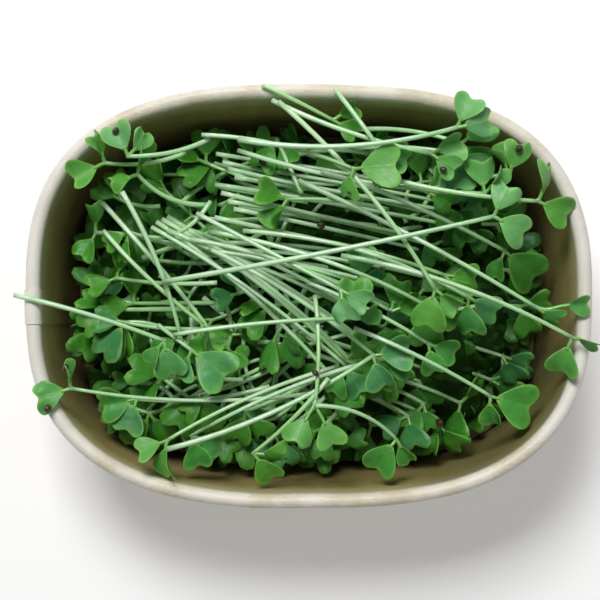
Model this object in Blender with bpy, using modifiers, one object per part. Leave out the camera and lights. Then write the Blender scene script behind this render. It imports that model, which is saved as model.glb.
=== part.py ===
"""A kraft paper bowl heaped with cut broccoli microgreens.

Metres, +Z up. The origin is the centre of the bowl on the surface that it stands on, with
+X along the bowl's length. The bowl is a rolled-rim side wall round a recessed base panel.
Each sprout is a pale stem with two heart-shaped seed leaves, and it is laid in the bowl in
the order of the lists below, resting on whatever is under it already.
"""

import math
from collections import namedtuple

import bmesh
import bpy
import numpy as np
from mathutils import Matrix, Vector

MM = 0.001

# The bowl: a 172 mm kraft bowl whose long sides a full load has bowed out.
RIM_LENGTH = 172 * MM
RIM_WIDTH = 129 * MM
FOOT_LENGTH = 154 * MM
FOOT_WIDTH = 110 * MM
HEIGHT = 52 * MM
RIM_SQUARENESS = 2.75
FOOT_SQUARENESS = 3.1
BOARD = 0.6 * MM
GAP = 0.3 * MM
CURL_RADIUS = 1.9 * MM
CURL_STEP = math.radians(45)
CURL_END = math.radians(-150)
BASE_RECESS = 4.5 * MM
FOOT_CORNER = 0.5 * MM
STATIONS = 48

# A sprout
STEM_RADIUS = 0.8 * MM
STEM_TAPER = 0.8
STEM_POINTS = 5
STEM_DROOP = 1.5 * MM
BLADE_THICKNESS = 0.7 * MM
PETIOLE_WIDTH = 1.5 * MM
BLADE_LENGTH_TO_WIDTH = 0.88
FOLD = math.radians(16)
LEAF_DROOP = 0.12
# Half of the heart outline from the stalk round to the notch: along and across, as shares.
HEART = ((0.30, 0.38), (0.78, 0.50), (1.00, 0.22), (0.86, 0.0))
SEED_RADIUS = 1.1 * MM
SEED_PLACE = 0.75

# The heap
CORE_HALF = Vector((60, 42, 18.5)) * MM
CORE_SQUARENESS = 2.75
CELL = 0.4 * MM
SINK = 1.0 * MM
STEEPEST = math.tan(math.radians(20))
SUPPORT_BINS = 40
CHIP_POINTS = 12

KRAFT = ((0.62, 0.47, 0.30, 1.0), 0.75)
KRAFT_BASE = ((0.58, 0.44, 0.28, 1.0), 0.7)
GREEN = ((0.24, 0.50, 0.13, 1.0), 0.5)

# One sprout, in millimetres and degrees, seen from above: its cut end, its neck where the
# leaf stalks part, how far the stem bows to its left, and a leaf for each
# (heading, pitch above level, roll about its own rib, blade width), and the length of its
# stalk where that isn't the usual one.
USUAL_STALK = 3.0
Sprout = namedtuple("Sprout", "cut neck bow leaves seed", defaults=(False,))
Leaf = namedtuple("Leaf", "heading pitch roll width stalk", defaults=(USUAL_STALK,))

# The sprouts that are packed into the bed round the heap's middle
BED_SPROUTS = (
    Sprout((-42, -1), (-67, 1), 2, ((112, 5, 20, 10), (240, 0, -25, 10))),
    Sprout((-36, -17), (-58, -8), -3, ((235, 10, 15, 12), (262, 0, 30, 10))),
    Sprout((-40, 6), (-59, 7), 2, ((225, 10, 50, 10), (62, 15, 30, 11))),
    Sprout((-3, 34), (-28, 41), 2, ((150, 15, 0, 11), (62, 25, 60, 8))),
    Sprout((36, 25), (57, 28), 2, ((30, 15, 20, 10), (330, 5, 30, 9))),
    Sprout((42, 14), (65, 19), 2, ((340, 0, 10, 10), (255, 0, 20, 9))),
    Sprout((30, -10), (57, -17), 2, ((330, 0, 20, 11), (285, 0, 15, 10))),
    Sprout((27, -20), (51, -29), 1, ((258, 0, 50, 11), (330, 5, 20, 9))),
    Sprout((16, -30), (42, -43), 2, ((60, 15, 65, 10), (215, 5, 30, 9))),
    Sprout((5, -28), (32, -39), 2, ((282, 0, 10, 9), (20, 10, 30, 8))),
    Sprout((-10, -22), (-35, -31), 1, ((235, 5, 0, 13), (295, 5, 20, 11))),
    Sprout((-27, -24), (-51, -37), 2, ((248, 0, 40, 11), (305, 0, 30, 10))),
    Sprout((10, -26), (-11, -44), 2, ((290, 0, 10, 10), (235, 5, 30, 8))),
    Sprout((0, 26), (24, 42), 2, ((130, 10, 10, 9), (60, 15, 10, 9))),
    Sprout((-20, 8), (-48, 20), 2, ((170, 10, 20, 11), (120, 15, 50, 10))),
    Sprout((12, 6), (42, 13), -2, ((20, 10, 20, 11), (300, 10, 30, 10))),
)

# The sprouts that lie loose on the bed, lowest first
LOOSE_SPROUTS = (
    Sprout((-2, 32), (-10, 50), 0, ((235, 10, 10, 10), (300, 10, 20, 9)), True),
    Sprout((12, 52), (47, 46), 2, ((32, 10, 10, 11), (318, 10, 30, 9)), True),
    Sprout((36, 32), (61, 36), 1, ((72, 10, 20, 10), (110, 20, 62, 9)), True),
    Sprout((14, 46), (45, 43), 1, ((275, 5, 0, 12), (325, 10, 20, 9))),
    Sprout((-39, 15), (-67, 20), -1, ((98, 10, 60, 9), (238, 5, 10, 9))),
    Sprout((-38, 44), (-62, 40), 2, ((112, 25, 66, 9), (208, 8, 10, 10, 4))),
    Sprout((-31, 28), (-52, 37), 3, ((80, 25, 70, 10), (200, 10, 40, 8))),
    Sprout((-30, 47), (-54, 41), 2, ((118, 15, 0, 10), (50, 5, 40, 8)), True),
    Sprout((-30, 29), (-56, 20), 6, ((258, 5, 55, 9), (205, 0, 20, 8))),
    Sprout((25, 27), (-7, 30), -1, ((165, 10, 15, 10), (235, 10, 60, 10))),
    Sprout((-22, 46), (53, 30), -3, ((95, 10, 10, 10), (45, 20, 62, 9))),
    Sprout((22, 36), (69, 28), -2, ((62, 20, 68, 10, 4), (336, 5, 10, 11))),
    Sprout((-30, 14), (16, 4), 1, ((80, 20, 15, 11), (20, 10, 40, 9))),
    Sprout((-48, 21), (12, -22), 2, ((300, 5, 10, 10), (240, 5, 30, 9))),
    Sprout((-43, 20), (22, -20), 3, ((345, 10, 10, 10), (270, 5, 30, 9))),
    Sprout((-36, 17), (26, -5), 3, ((72, 15, 10, 10), (15, 10, 20, 9))),
    Sprout((-31, 20), (38, -4), 3, ((262, 5, 0, 12), (330, 10, 50, 9))),
    Sprout((-20, 20), (42, 6), 2, ((352, 5, 15, 10), (310, 5, 15, 10))),
    Sprout((0, 4), (37, -15), 1, ((338, 10, 10, 9), (284, 5, 10, 9))),
    Sprout((14, 14), (49, -1), 1, ((268, 0, 40, 11), (330, 10, 20, 10))),
    Sprout((-64, 29), (-27, -15), 1, ((300, 5, 20, 10), (240, 5, 20, 9))),
    Sprout((-63, 20), (-32, -9), -1, ((330, 5, 20, 9), (270, 5, 40, 9))),
    Sprout((-56, 31), (-39, -13), 2, ((285, 5, 20, 9), (215, 5, 20, 9))),
    Sprout((-12, -28), (-54, -32), 2, ((192, 5, 0, 12), (250, 10, 0, 11))),
    Sprout((2, -30), (-72, -28), 3, ((100, 25, 80, 8), (196, 0, 10, 11)), True),
    Sprout((8, -22), (-43, -44), -2, ((262, 0, 60, 11), (200, 5, 30, 9))),
    Sprout((16, -21), (-36, -43), -2, ((282, 0, 0, 10), (340, 5, 30, 9))),
    Sprout((-42, -46), (20, -18), -3, ((8, 8, 10, 12), (290, 5, 20, 10))),
    Sprout((6, -25), (-17, -48), 1, ((300, 0, 20, 10), (350, 5, 40, 9))),
    Sprout((2, 0), (2, -32), 1, ((244, -3, 0, 10, 8), (291, -3, 0, 10, 9))),
    Sprout((2, -33), (27, -44), 3, ((236, 0, 10, 12), (300, 5, 40, 8))),
    Sprout((14, -10), (56, -31), 1, ((342, 3, 0, 15), (270, -5, 40, 9))),
    Sprout((-46, -9), (-35, -17), 0, ((322, 3, 0, 15), (250, -5, 40, 9))),
    Sprout((-41, -12), (13, -7), 1, ((78, 20, 20, 12), (15, 10, 50, 9))),
    Sprout((4, 38), (62, 14), 1, ((320, 3, 0, 15), (250, 0, 50, 9))),
    Sprout((-3, 36), (69, -4), 1, ((3, 3, 30, 8, 12), (325, 0, 45, 8))),
    Sprout((10, 12), (79, -13), 3, ((256, -10, 20, 11, 4), (345, 5, 70, 8))),
    Sprout((-14, 63.4), (8, 53), 0, ((330, 10, 0, 8), (30, 10, 40, 8))),
    Sprout((-11, 59), (37, 42), -2, ((20, 10, 30, 10), (325, 5, 20, 9))),
    Sprout((8, 62), (22, 42), 0, ((280, 5, 20, 9), (340, 5, 20, 8))),
    Sprout((-9, 58), (38, 1), 3, ((256, 0, 15, 12), (320, 5, 45, 9))),
    Sprout((-88.7, 0), (-43, -14), 1, ((283, 5, 5, 11), (235, -5, 40, 8))),
    Sprout((-34, 25), (10, 1), 0, ((330, 5, 20, 9), (280, 5, 30, 9))),
    Sprout((-32, 48), (14, 37), 2, ((2, 20, 0, 14), (252, -5, 40, 8))),
    Sprout((-21, 46), (44, 49), -4, ((62, 15, -15, 10), (8, 8, 25, 10))),
    Sprout((-44, 4), (55, 23), -1, ((63, 10, 0, 10), (332, 5, 0, 11))),
)


def outline(height, angle, outward=0.0):
    """A point of the wall's middle layer at this height and plan angle, moved outward."""
    share = height / HEIGHT
    curl_reach = 2 * CURL_RADIUS + BOARD / 2
    half_x = (1 - share) * (FOOT_LENGTH - BOARD) / 2 + share * (RIM_LENGTH / 2 - curl_reach)
    half_y = (1 - share) * (FOOT_WIDTH - BOARD) / 2 + share * (RIM_WIDTH / 2 - curl_reach)
    power = (1 - share) * FOOT_SQUARENESS + share * RIM_SQUARENESS
    across, along = abs(math.cos(angle)) / half_x, abs(math.sin(angle)) / half_y
    reach = (across**power + along**power) ** (-1 / power)
    x, y = reach * math.cos(angle), reach * math.sin(angle)
    slope_x = math.copysign(abs(x / half_x) ** (power - 1) / half_x, x)
    slope_y = math.copysign(abs(y / half_y) ** (power - 1) / half_y, y)
    steepness = math.hypot(slope_x, slope_y)
    return Vector((x + outward * slope_x / steepness, y + outward * slope_y / steepness, height))


def add_object(name, mesh, finish, collection):
    """An object of this mesh, with a material of its own colour and roughness."""
    obj = bpy.data.objects.new(name, mesh)
    collection.objects.link(obj)
    if finish:
        colour, roughness = finish
        material = bpy.data.materials.new(name)
        material.use_nodes = True
        shader = material.node_tree.nodes["Principled BSDF"]
        shader.inputs["Base Color"].default_value = colour
        shader.inputs["Roughness"].default_value = roughness
        mesh.materials.append(material)
    return obj


def mesh_of(bm, name):
    mesh = bpy.data.meshes.new(name)
    bm.to_mesh(mesh)
    bm.free()
    return mesh


def bridge(bm, rows, closed):
    """Quads from each ring of points to the next, and from the last to the first if closed."""
    pairs = list(zip(rows, rows[1:])) + ([(rows[-1], rows[0])] if closed else [])
    for low, high in pairs:
        for i in range(len(low)):
            j = (i + 1) % len(low)
            bm.faces.new((low[i], low[j], high[j], high[i]))


def ring(bm, outward, height):
    """One turn round the bowl at a fixed distance from its wall."""
    turn = (2 * math.pi * i / STATIONS for i in range(STATIONS))
    return [bm.verts.new(outline(max(height, 0.0), angle, outward)) for angle in turn]


def wall_section():
    """The folded board in section, as (outward, height): hem, foot fold, wall and rolled rim."""
    pitch = BOARD + GAP
    foot = BOARD / 2
    section = [
        Vector((-2 * pitch, BASE_RECESS - BOARD / 2 - GAP)),
        Vector((-2 * pitch, foot + FOOT_CORNER)),
        Vector((-2 * pitch + FOOT_CORNER, foot)),
        Vector((-FOOT_CORNER, foot)),
        Vector((0, foot + FOOT_CORNER)),
        Vector((0, HEIGHT / 2)),
    ]
    centre = Vector((CURL_RADIUS, HEIGHT - foot - CURL_RADIUS))
    angle = math.pi
    while angle > CURL_END:
        section.append(centre + CURL_RADIUS * Vector((math.cos(angle), math.sin(angle))))
        angle -= CURL_STEP
    return section


def thicken(section):
    """The outline of a board of even thickness whose middle follows the section."""
    sides = ([], [])
    for i, point in enumerate(section):
        before = (point - section[max(i - 1, 0)]).normalized()
        after = (section[min(i + 1, len(section) - 1)] - point).normalized()
        along = (before + after).normalized()
        square = Vector((-along.y, along.x))
        lean = max(before.dot(along), after.dot(along))
        for side, sign in zip(sides, (1, -1)):
            side.append(point + square * sign * BOARD / 2 / lean)
    return sides[0] + sides[1][::-1]


def build_wall(collection):
    bm = bmesh.new()
    rows = [ring(bm, point.x, point.y) for point in thicken(wall_section())]
    bridge(bm, rows, closed=True)
    bmesh.ops.recalc_face_normals(bm, faces=bm.faces)
    return add_object("bowl_wall", mesh_of(bm, "bowl_wall"), KRAFT, collection)


def build_base(collection):
    """The base panel, whose flange turns down between the wall and its hem."""
    pitch = BOARD + GAP
    flange_foot = BOARD + GAP
    bm = bmesh.new()
    rows = [
        ring(bm, -pitch - BOARD / 2, BASE_RECESS - BOARD / 2),
        ring(bm, -pitch - BOARD / 2, flange_foot),
        ring(bm, -pitch + BOARD / 2, flange_foot),
        ring(bm, -pitch + BOARD / 2, BASE_RECESS),
        ring(bm, -pitch, BASE_RECESS + BOARD / 2),
    ]
    bridge(bm, rows, closed=False)
    bm.faces.new(rows[0])
    bm.faces.new(rows[-1])
    bmesh.ops.recalc_face_normals(bm, faces=bm.faces)
    return add_object("bowl_base", mesh_of(bm, "bowl_base"), KRAFT_BASE, collection)


def evaluated_mesh(obj, weld=True):
    """The object's shape as a new mesh, with its bevel or its modifiers applied."""
    bpy.context.view_layer.update()
    graph = bpy.context.evaluated_depsgraph_get()
    mesh = bpy.data.meshes.new_from_object(obj.evaluated_get(graph))
    if weld:
        bm = bmesh.new()
        bm.from_mesh(mesh)
        bmesh.ops.remove_doubles(bm, verts=bm.verts, dist=0.01 * MM)
        bm.to_mesh(mesh)
        bm.free()
    return mesh


def stem_mesh(path, sides):
    """A tapered round stem along the path, from its cut end to its neck."""
    curve = bpy.data.curves.new("stem", "CURVE")
    curve.dimensions = "3D"
    curve.bevel_depth = STEM_RADIUS
    curve.bevel_resolution = sides
    curve.use_fill_caps = True
    spline = curve.splines.new("POLY")
    spline.points.add(len(path) - 1)
    for i, point in enumerate(path):
        spline.points[i].co = (*point, 1)
        spline.points[i].radius = 1 - (1 - STEM_TAPER) * i / (len(path) - 1)
    obj = bpy.data.objects.new("stem", curve)
    bpy.context.scene.collection.objects.link(obj)
    mesh = evaluated_mesh(obj)
    bpy.data.objects.remove(obj)
    bpy.data.curves.remove(curve)
    return mesh


def blade_mesh(width, stalk_length):
    """A heart-shaped seed leaf with its stalk along +X, folded a little along its rib."""
    length = width * BLADE_LENGTH_TO_WIDTH
    stalk = PETIOLE_WIDTH / 2
    bm = bmesh.new()
    rib = [Vector((0, 0, 0)), Vector((stalk_length + length * 0.42, 0, 0))]
    for side in (1, -1):
        edge = [Vector((0, side * stalk, 0)), Vector((stalk_length * 0.8, side * stalk, 0))]
        for along, across in HEART:
            edge.append(Vector((stalk_length + along * length, side * across * width, 0)))
        half = [bm.verts.new(point) for point in edge + rib[::-1]]
        bm.faces.new(half if side < 0 else half[::-1])
    bmesh.ops.remove_doubles(bm, verts=bm.verts, dist=0.01 * MM)
    bmesh.ops.triangulate(bm, faces=bm.faces)
    reach = stalk_length + length
    for vert in bm.verts:
        blade = max(0.0, vert.co.x - stalk_length * 0.6) / reach
        vert.co.z = abs(vert.co.y) * math.tan(FOLD) * min(1.0, 3 * blade) - LEAF_DROOP * reach * blade**2
    bmesh.ops.recalc_face_normals(bm, faces=bm.faces)
    obj = bpy.data.objects.new("blade", mesh_of(bm, "blade"))
    bpy.context.scene.collection.objects.link(obj)
    shell = obj.modifiers.new("thickness", "SOLIDIFY")
    shell.thickness = BLADE_THICKNESS
    shell.offset = 0
    shell.use_even_offset = True
    mesh = evaluated_mesh(obj)
    bpy.data.objects.remove(obj)
    return mesh


def turned(mesh, place, heading, pitch, roll):
    """Turns a mesh that points along +X to a heading in plan, a pitch and a roll."""
    turn = Matrix.Rotation(math.radians(heading), 4, "Z")
    turn = turn @ Matrix.Rotation(math.radians(-pitch), 4, "Y")
    turn = turn @ Matrix.Rotation(math.radians(roll), 4, "X")
    mesh.transform(Matrix.Translation(place) @ turn)
    return mesh


def seed_mesh(width, stalk_length):
    """An empty seed coat that still clings to the tip of a leaf of this width along +X."""
    blade = SEED_PLACE * width * BLADE_LENGTH_TO_WIDTH
    reach = stalk_length + width * BLADE_LENGTH_TO_WIDTH
    drop = LEAF_DROOP * blade**2 / reach
    bm = bmesh.new()
    bmesh.ops.create_icosphere(bm, subdivisions=1, radius=SEED_RADIUS)
    bmesh.ops.translate(bm, verts=bm.verts, vec=(stalk_length + blade, 0, -drop))
    return mesh_of(bm, "seed")


def stem_path(sprout):
    """The stem's line in plan, bowed to one side, and drooping to both ends like a limp rod."""
    cut, neck = Vector((*sprout.cut, 0)) * MM, Vector((*sprout.neck, 0)) * MM
    aside = Vector((cut.y - neck.y, neck.x - cut.x, 0)).normalized() * sprout.bow * MM
    path = []
    for i in range(STEM_POINTS):
        share = i / (STEM_POINTS - 1)
        middle = 4 * share * (1 - share)
        droop = Vector((0, 0, STEM_DROOP * (middle - 1)))
        path.append(cut.lerp(neck, share) + aside * middle + droop)
    return path


def sprout_pieces(sprout, sides):
    """The meshes of a stem, its two leaves and any seed coat, before they are settled."""
    path = stem_path(sprout)
    root = path[-1] - (path[-1] - path[-2]).normalized() * STEM_RADIUS
    pieces = [stem_mesh(path, sides)]
    leaves = [Leaf(*leaf) for leaf in sprout.leaves]
    for leaf in leaves:
        blade = blade_mesh(leaf.width * MM, leaf.stalk * MM)
        pieces.append(turned(blade, root, leaf.heading, leaf.pitch, leaf.roll))
    if sprout.seed:
        first = leaves[0]
        seed = seed_mesh(first.width * MM, first.stalk * MM)
        pieces.append(turned(seed, root, first.heading, first.pitch, first.roll))
    return pieces


def surface_samples(mesh):
    """Points spread over a mesh closely enough to leave no cell of the heap's grid out."""
    mesh.calc_loop_triangles()
    points = np.array([v.co for v in mesh.vertices])
    samples = []
    for triangle in mesh.loop_triangles:
        a, b, c = points[list(triangle.vertices)]
        longest = max(np.linalg.norm(b - a), np.linalg.norm(c - b), np.linalg.norm(a - c))
        steps = int(longest / CELL) + 2
        u, v = np.meshgrid(np.linspace(0, 1, steps), np.linspace(0, 1, steps))
        inside = u + v <= 1 + 1e-9
        u, v = u[inside][:, None], v[inside][:, None]
        samples.append(a + u * (b - a) + v * (c - a))
    return np.concatenate(samples)


class Heap:
    """The height, on a grid in plan, of the top of all that is in the bowl so far."""

    def __init__(self):
        self.half = np.array((RIM_LENGTH / 2 + 15 * MM, RIM_WIDTH / 2 + 15 * MM))
        shape = np.ceil(2 * self.half / CELL).astype(int) + 3
        self.height = np.zeros(shape)

    def cells(self, samples):
        index = ((samples[:, :2] + self.half) / CELL).astype(int) + 1
        index = np.clip(index, 1, np.array(self.height.shape) - 2)
        return index[:, 0], index[:, 1]

    def add(self, samples):
        np.maximum.at(self.height, self.cells(samples), samples[:, 2])

    def under(self, samples):
        """The greatest height in and next to each sample's cell."""
        x, y = self.cells(samples)
        around = [(i, j) for i in (-1, 0, 1) for j in (-1, 0, 1)]
        return np.max([self.height[x + i, y + j] for i, j in around], axis=0)


def draped(share, need):
    """The lowest arch that clears every need and is nowhere steeper than a limp stem hangs.

    Share is each point's place along the stem and need is the least height there. It returns
    the arch's corners as two lists, the places and the heights.
    """
    width = (share.max() - share.min()) / SUPPORT_BINS
    bins = np.minimum(((share - share.min()) / width).astype(int), SUPPORT_BINS - 1)
    place = share.min() + width * (np.arange(SUPPORT_BINS) + 0.5)
    level = np.full(SUPPORT_BINS, -1.0)
    np.maximum.at(level, bins, need)
    apart = np.abs(place[:, None] - place[None, :])
    level = np.max(level[None, :] - STEEPEST * apart, axis=1)
    corners = []
    for i in range(SUPPORT_BINS):
        while len(corners) > 1:
            a, b = corners[-2:]
            if (level[b] - level[a]) * (i - a) > (level[i] - level[a]) * (b - a):
                break
            corners.pop()
        corners.append(i)
    return place[corners], level[corners]


def settle(pieces, sprout, heap, bed=None):
    """Drapes a sprout's meshes over the heap, or sinks them a little into the bed."""
    start, end = np.array(sprout.cut) * MM, np.array(sprout.neck) * MM
    along = (end - start) / np.linalg.norm(end - start)

    def shortfall():
        samples = np.concatenate([surface_samples(mesh) for mesh in pieces])
        need = heap.under(samples) + GAP
        if bed:
            need = np.maximum(need, bed.under(samples) - SINK)
        return samples, need - samples[:, 2]

    samples, need = shortfall()
    arch = draped((samples[:, :2] - start) @ along, need)
    for mesh in pieces:
        for vert in mesh.vertices:
            vert.co.z += np.interp((np.array(vert.co)[:2] - start) @ along, *arch)
    samples, need = shortfall()
    for mesh in pieces:
        mesh.transform(Matrix.Translation((0, 0, need.max())))
    samples[:, 2] += need.max()
    (bed or heap).add(samples)


def drop_chips(mesh):
    """Removes the loose slivers that a union can leave where two faces nearly agree."""
    bm = bmesh.new()
    bm.from_mesh(mesh)
    left = set(bm.verts)
    while left:
        island, edge = set(), [left.pop()]
        while edge:
            vert = edge.pop()
            island.add(vert)
            near = {e.other_vert(vert) for e in vert.link_edges} & left
            left -= near
            edge += near
        if len(island) < CHIP_POINTS:
            bmesh.ops.delete(bm, geom=list(island), context="VERTS")
    bm.to_mesh(mesh)
    bm.free()


def joined(meshes, name, finish, collection):
    """One body made of these closed meshes by a Boolean union."""
    others = bpy.data.collections.new("joining")
    bpy.context.scene.collection.children.link(others)
    for mesh in meshes[1:]:
        others.objects.link(bpy.data.objects.new("piece", mesh))
    base = bpy.data.objects.new("base", meshes[0])
    bpy.context.scene.collection.objects.link(base)
    union = base.modifiers.new("union", "BOOLEAN")
    union.operation = "UNION"
    union.operand_type = "COLLECTION"
    union.collection = others
    union.solver = "MANIFOLD"
    mesh = evaluated_mesh(base, weld=False)
    drop_chips(mesh)
    mesh.name = name
    for obj in [base, *others.objects]:
        bpy.data.objects.remove(obj)
    bpy.data.collections.remove(others)
    mesh.materials.clear()
    return add_object(name, mesh, finish, collection)


def core_mesh():
    """The packed middle of the heap, boxed like the bowl, that the bed's sprouts stand out of."""
    bm = bmesh.new()
    bmesh.ops.create_icosphere(bm, subdivisions=2, radius=1)
    for vert in bm.verts:
        size = sum(abs(x) ** CORE_SQUARENESS for x in vert.co) ** (1 / CORE_SQUARENESS)
        vert.co = Vector(x * half / size for x, half in zip(vert.co, CORE_HALF))
    floor = BASE_RECESS + BOARD / 2 + GAP
    bmesh.ops.translate(bm, verts=bm.verts, vec=(0, 0, floor + CORE_HALF.z))
    return mesh_of(bm, "core")


def build_bed(heap, collection):
    core = core_mesh()
    bed = Heap()
    bed.add(surface_samples(core))
    meshes = [core]
    for sprout in BED_SPROUTS:
        pieces = sprout_pieces(sprout, sides=0)
        settle(pieces, sprout, heap, bed)
        meshes += pieces
    heap.height = np.maximum(heap.height, bed.height)
    return joined(meshes, "sprout_bed", GREEN, collection)


def build_loose_sprouts(heap, collection):
    for number, sprout in enumerate(LOOSE_SPROUTS, 1):
        pieces = sprout_pieces(sprout, sides=1)
        settle(pieces, sprout, heap)
        joined(pieces, f"sprout_{number:02d}", GREEN, collection)


def main():
    for obj in list(bpy.data.objects):
        bpy.data.objects.remove(obj)
    tray = bpy.data.collections.new("microgreens_tray")
    bpy.context.scene.collection.children.link(tray)
    heap = Heap()
    for part in (build_wall(tray), build_base(tray)):
        heap.add(surface_samples(part.data))
    build_bed(heap, tray)
    build_loose_sprouts(heap, tray)


main()
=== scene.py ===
# %% [markdown]
# # A kraft bowl of cut microgreens
# The real object is a paper bowl with a rolled rim, heaped with cut broccoli sprouts. The
# solid model gives the bowl, a low bed and the sprouts that lie on top. This lesson dresses
# them: it models a bowl of folded board, and one stem, one seed leaf, one seed coat and one
# drop of water, of which it lays copies where the solid model says. Lengths are in metres.

import math
import random
from collections import namedtuple

import bmesh
import bpy
import numpy as np
from mathutils import Matrix, Vector


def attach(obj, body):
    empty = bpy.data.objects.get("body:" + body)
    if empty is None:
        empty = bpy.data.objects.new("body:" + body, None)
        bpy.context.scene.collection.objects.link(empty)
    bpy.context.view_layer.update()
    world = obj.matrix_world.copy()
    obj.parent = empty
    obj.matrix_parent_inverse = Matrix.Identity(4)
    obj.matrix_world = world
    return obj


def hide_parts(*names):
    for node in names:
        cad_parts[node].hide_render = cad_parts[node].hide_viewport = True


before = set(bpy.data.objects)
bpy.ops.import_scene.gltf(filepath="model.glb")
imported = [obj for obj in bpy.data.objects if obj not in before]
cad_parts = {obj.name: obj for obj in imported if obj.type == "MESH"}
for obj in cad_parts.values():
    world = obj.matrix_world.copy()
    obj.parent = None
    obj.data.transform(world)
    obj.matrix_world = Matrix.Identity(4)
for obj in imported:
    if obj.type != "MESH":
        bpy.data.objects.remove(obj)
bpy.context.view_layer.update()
MM = 0.001
SMOOTH_UNDER = math.radians(50)
print("nodes:", len(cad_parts))

# %% [markdown]
# ## Helpers for modelling
# Every new piece starts as a primitive and is shaped in edit mode. An operator acts on all
# that is selected, so each step first deselects everything, and then picks points by where
# they are. The helpers below do that, and they put a finished piece's place in its mesh.


# %% Select and shape
def start_piece(name, add, **settings):
    """Adds a primitive with nothing else selected, and leaves it in edit mode."""
    bpy.ops.object.select_all(action="DESELECT")
    add(**settings)
    piece = bpy.context.object
    piece.name = piece.data.name = name
    bpy.ops.object.mode_set(mode="EDIT")
    return piece


def pick(piece, test, mode="VERT"):
    """Selects just the points, edges or faces whose middle passes the test."""
    bpy.ops.mesh.select_mode(type=mode)
    bpy.ops.mesh.select_all(action="DESELECT")
    bm = bmesh.from_edit_mesh(piece.data)
    chosen = 0
    for item in {"VERT": bm.verts, "EDGE": bm.edges, "FACE": bm.faces}[mode]:
        if mode == "VERT":
            middle = item.co
        else:
            middle = sum((vert.co for vert in item.verts), Vector()) / len(item.verts)
        if test(middle):
            item.select_set(True)
            chosen += 1
    bmesh.update_edit_mesh(piece.data)
    return chosen


def end_piece(piece, modifiers=()):
    """Leaves edit mode, adds each modifier with its settings and applies it."""
    bpy.ops.object.mode_set(mode="OBJECT")
    for kind, settings in modifiers:
        modifier = piece.modifiers.new(kind.lower(), kind)
        for key, value in settings.items():
            setattr(modifier, key, value)
        bpy.ops.object.modifier_apply(modifier=modifier.name)
    bpy.ops.object.transform_apply(location=True, rotation=True, scale=True)
    print(piece.name, len(piece.data.vertices), "points", len(piece.data.polygons), "faces")
    return piece


def hand_over(piece, material, slot, *nodes):
    """Gives a piece its finish or finishes, attaches it to the root, and hides the solids it stands for."""
    for finish in material if isinstance(material, tuple) else (material,):
        piece.data.materials.append(finish)
    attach(piece, "root")
    if nodes:
        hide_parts(*nodes)


# %% [markdown]
# ## Helpers for finishes
# A pattern in a material is arithmetic on sockets. Wrapping a socket in a small class lets
# the sums be written as Python, such as `1 - mask * 0.5`, and each sum adds its Math node.


# %% Write shader maths as expressions
class Signal:
    """An output socket that takes part in sums."""

    def __init__(self, finish, socket):
        self.finish, self.socket = finish, socket

    def __add__(self, other):
        return self.finish.maths("ADD", self, other)

    def __sub__(self, other):
        return self.finish.maths("SUBTRACT", self, other)

    def __rsub__(self, other):
        return self.finish.maths("SUBTRACT", other, self)

    def __mul__(self, other):
        return self.finish.maths("MULTIPLY", self, other)

    __radd__, __rmul__ = __add__, __mul__


class Finish:
    """A material whose fixed values are set on its shader, with helpers for its patterns."""

    def __init__(self, name, **fixed):
        self.material = bpy.data.materials.new(name)
        self.material.use_nodes = True
        self.tree = self.material.node_tree
        self.shader = self.tree.nodes["Principled BSDF"]
        for key, value in fixed.items():
            self.shader.inputs[key.replace("_", " ")].default_value = value

    def node(self, kind, settings, inputs, output=0):
        """Any node: its settings first, then the values or links of its sockets."""
        node = self.tree.nodes.new("ShaderNode" + kind)
        for key, value in settings.items():
            setattr(node, key, value)
        for key, value in inputs.items():
            self.feed(node.inputs[key], value)
        return Signal(self, node.outputs[output])

    def feed(self, socket, value):
        """Links a signal to the socket, or sets its fixed value."""
        if isinstance(value, Signal):
            self.tree.links.new(value.socket, socket)
        elif isinstance(value, tuple) and len(value) == 3 and socket.type == "RGBA":
            socket.default_value = (*value, 1)
        else:
            socket.default_value = value

    def drive(self, name, value):
        """Feeds one of the shader's own sockets."""
        self.feed(self.shader.inputs[name], value)

    def maths(self, operation, a, b=0.0):
        return self.node("Math", {"operation": operation}, {0: a, 1: b})

    def clamp(self, a):
        return self.node("Clamp", {}, {"Value": a})

    def smooth(self, value, low, high):
        """0 below low, 1 above high, and an eased rise between them."""
        settings = {"interpolation_type": "SMOOTHSTEP"}
        return self.node("MapRange", settings, {"Value": value, "From Min": low, "From Max": high})

    def blend(self, factor, a, b):
        return self.node("Mix", {"data_type": "RGBA"}, {0: factor, 6: a, 7: b}, output=2)

    def attribute(self, name, output="Vector"):
        return self.node("Attribute", {"attribute_name": name}, {}, output)

    def place(self):
        return self.node("TexCoord", {}, {}, "Object")

    def stretch(self, vector, scale):
        """The vector with each axis multiplied, so that a pattern on it is drawn out."""
        return self.node("VectorMath", {"operation": "MULTIPLY"}, {0: vector, 1: scale})

    def noise(self, vector, scale, detail=2.0, roughness=0.5):
        """Soft random clouds between 0 and 1, finer with a greater scale."""
        inputs = {"Vector": vector, "Scale": scale, "Detail": detail, "Roughness": roughness}
        return self.node("TexNoise", {}, inputs)

    def parts(self, vector):
        """The three numbers of a vector."""
        split = self.node("SeparateXYZ", {}, {"Vector": vector}).socket.node
        return [Signal(self, socket) for socket in split.outputs]

    def bump(self, height, strength, distance):
        inputs = {"Height": height, "Strength": strength, "Distance": distance}
        self.drive("Normal", self.node("Bump", {}, inputs))
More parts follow.
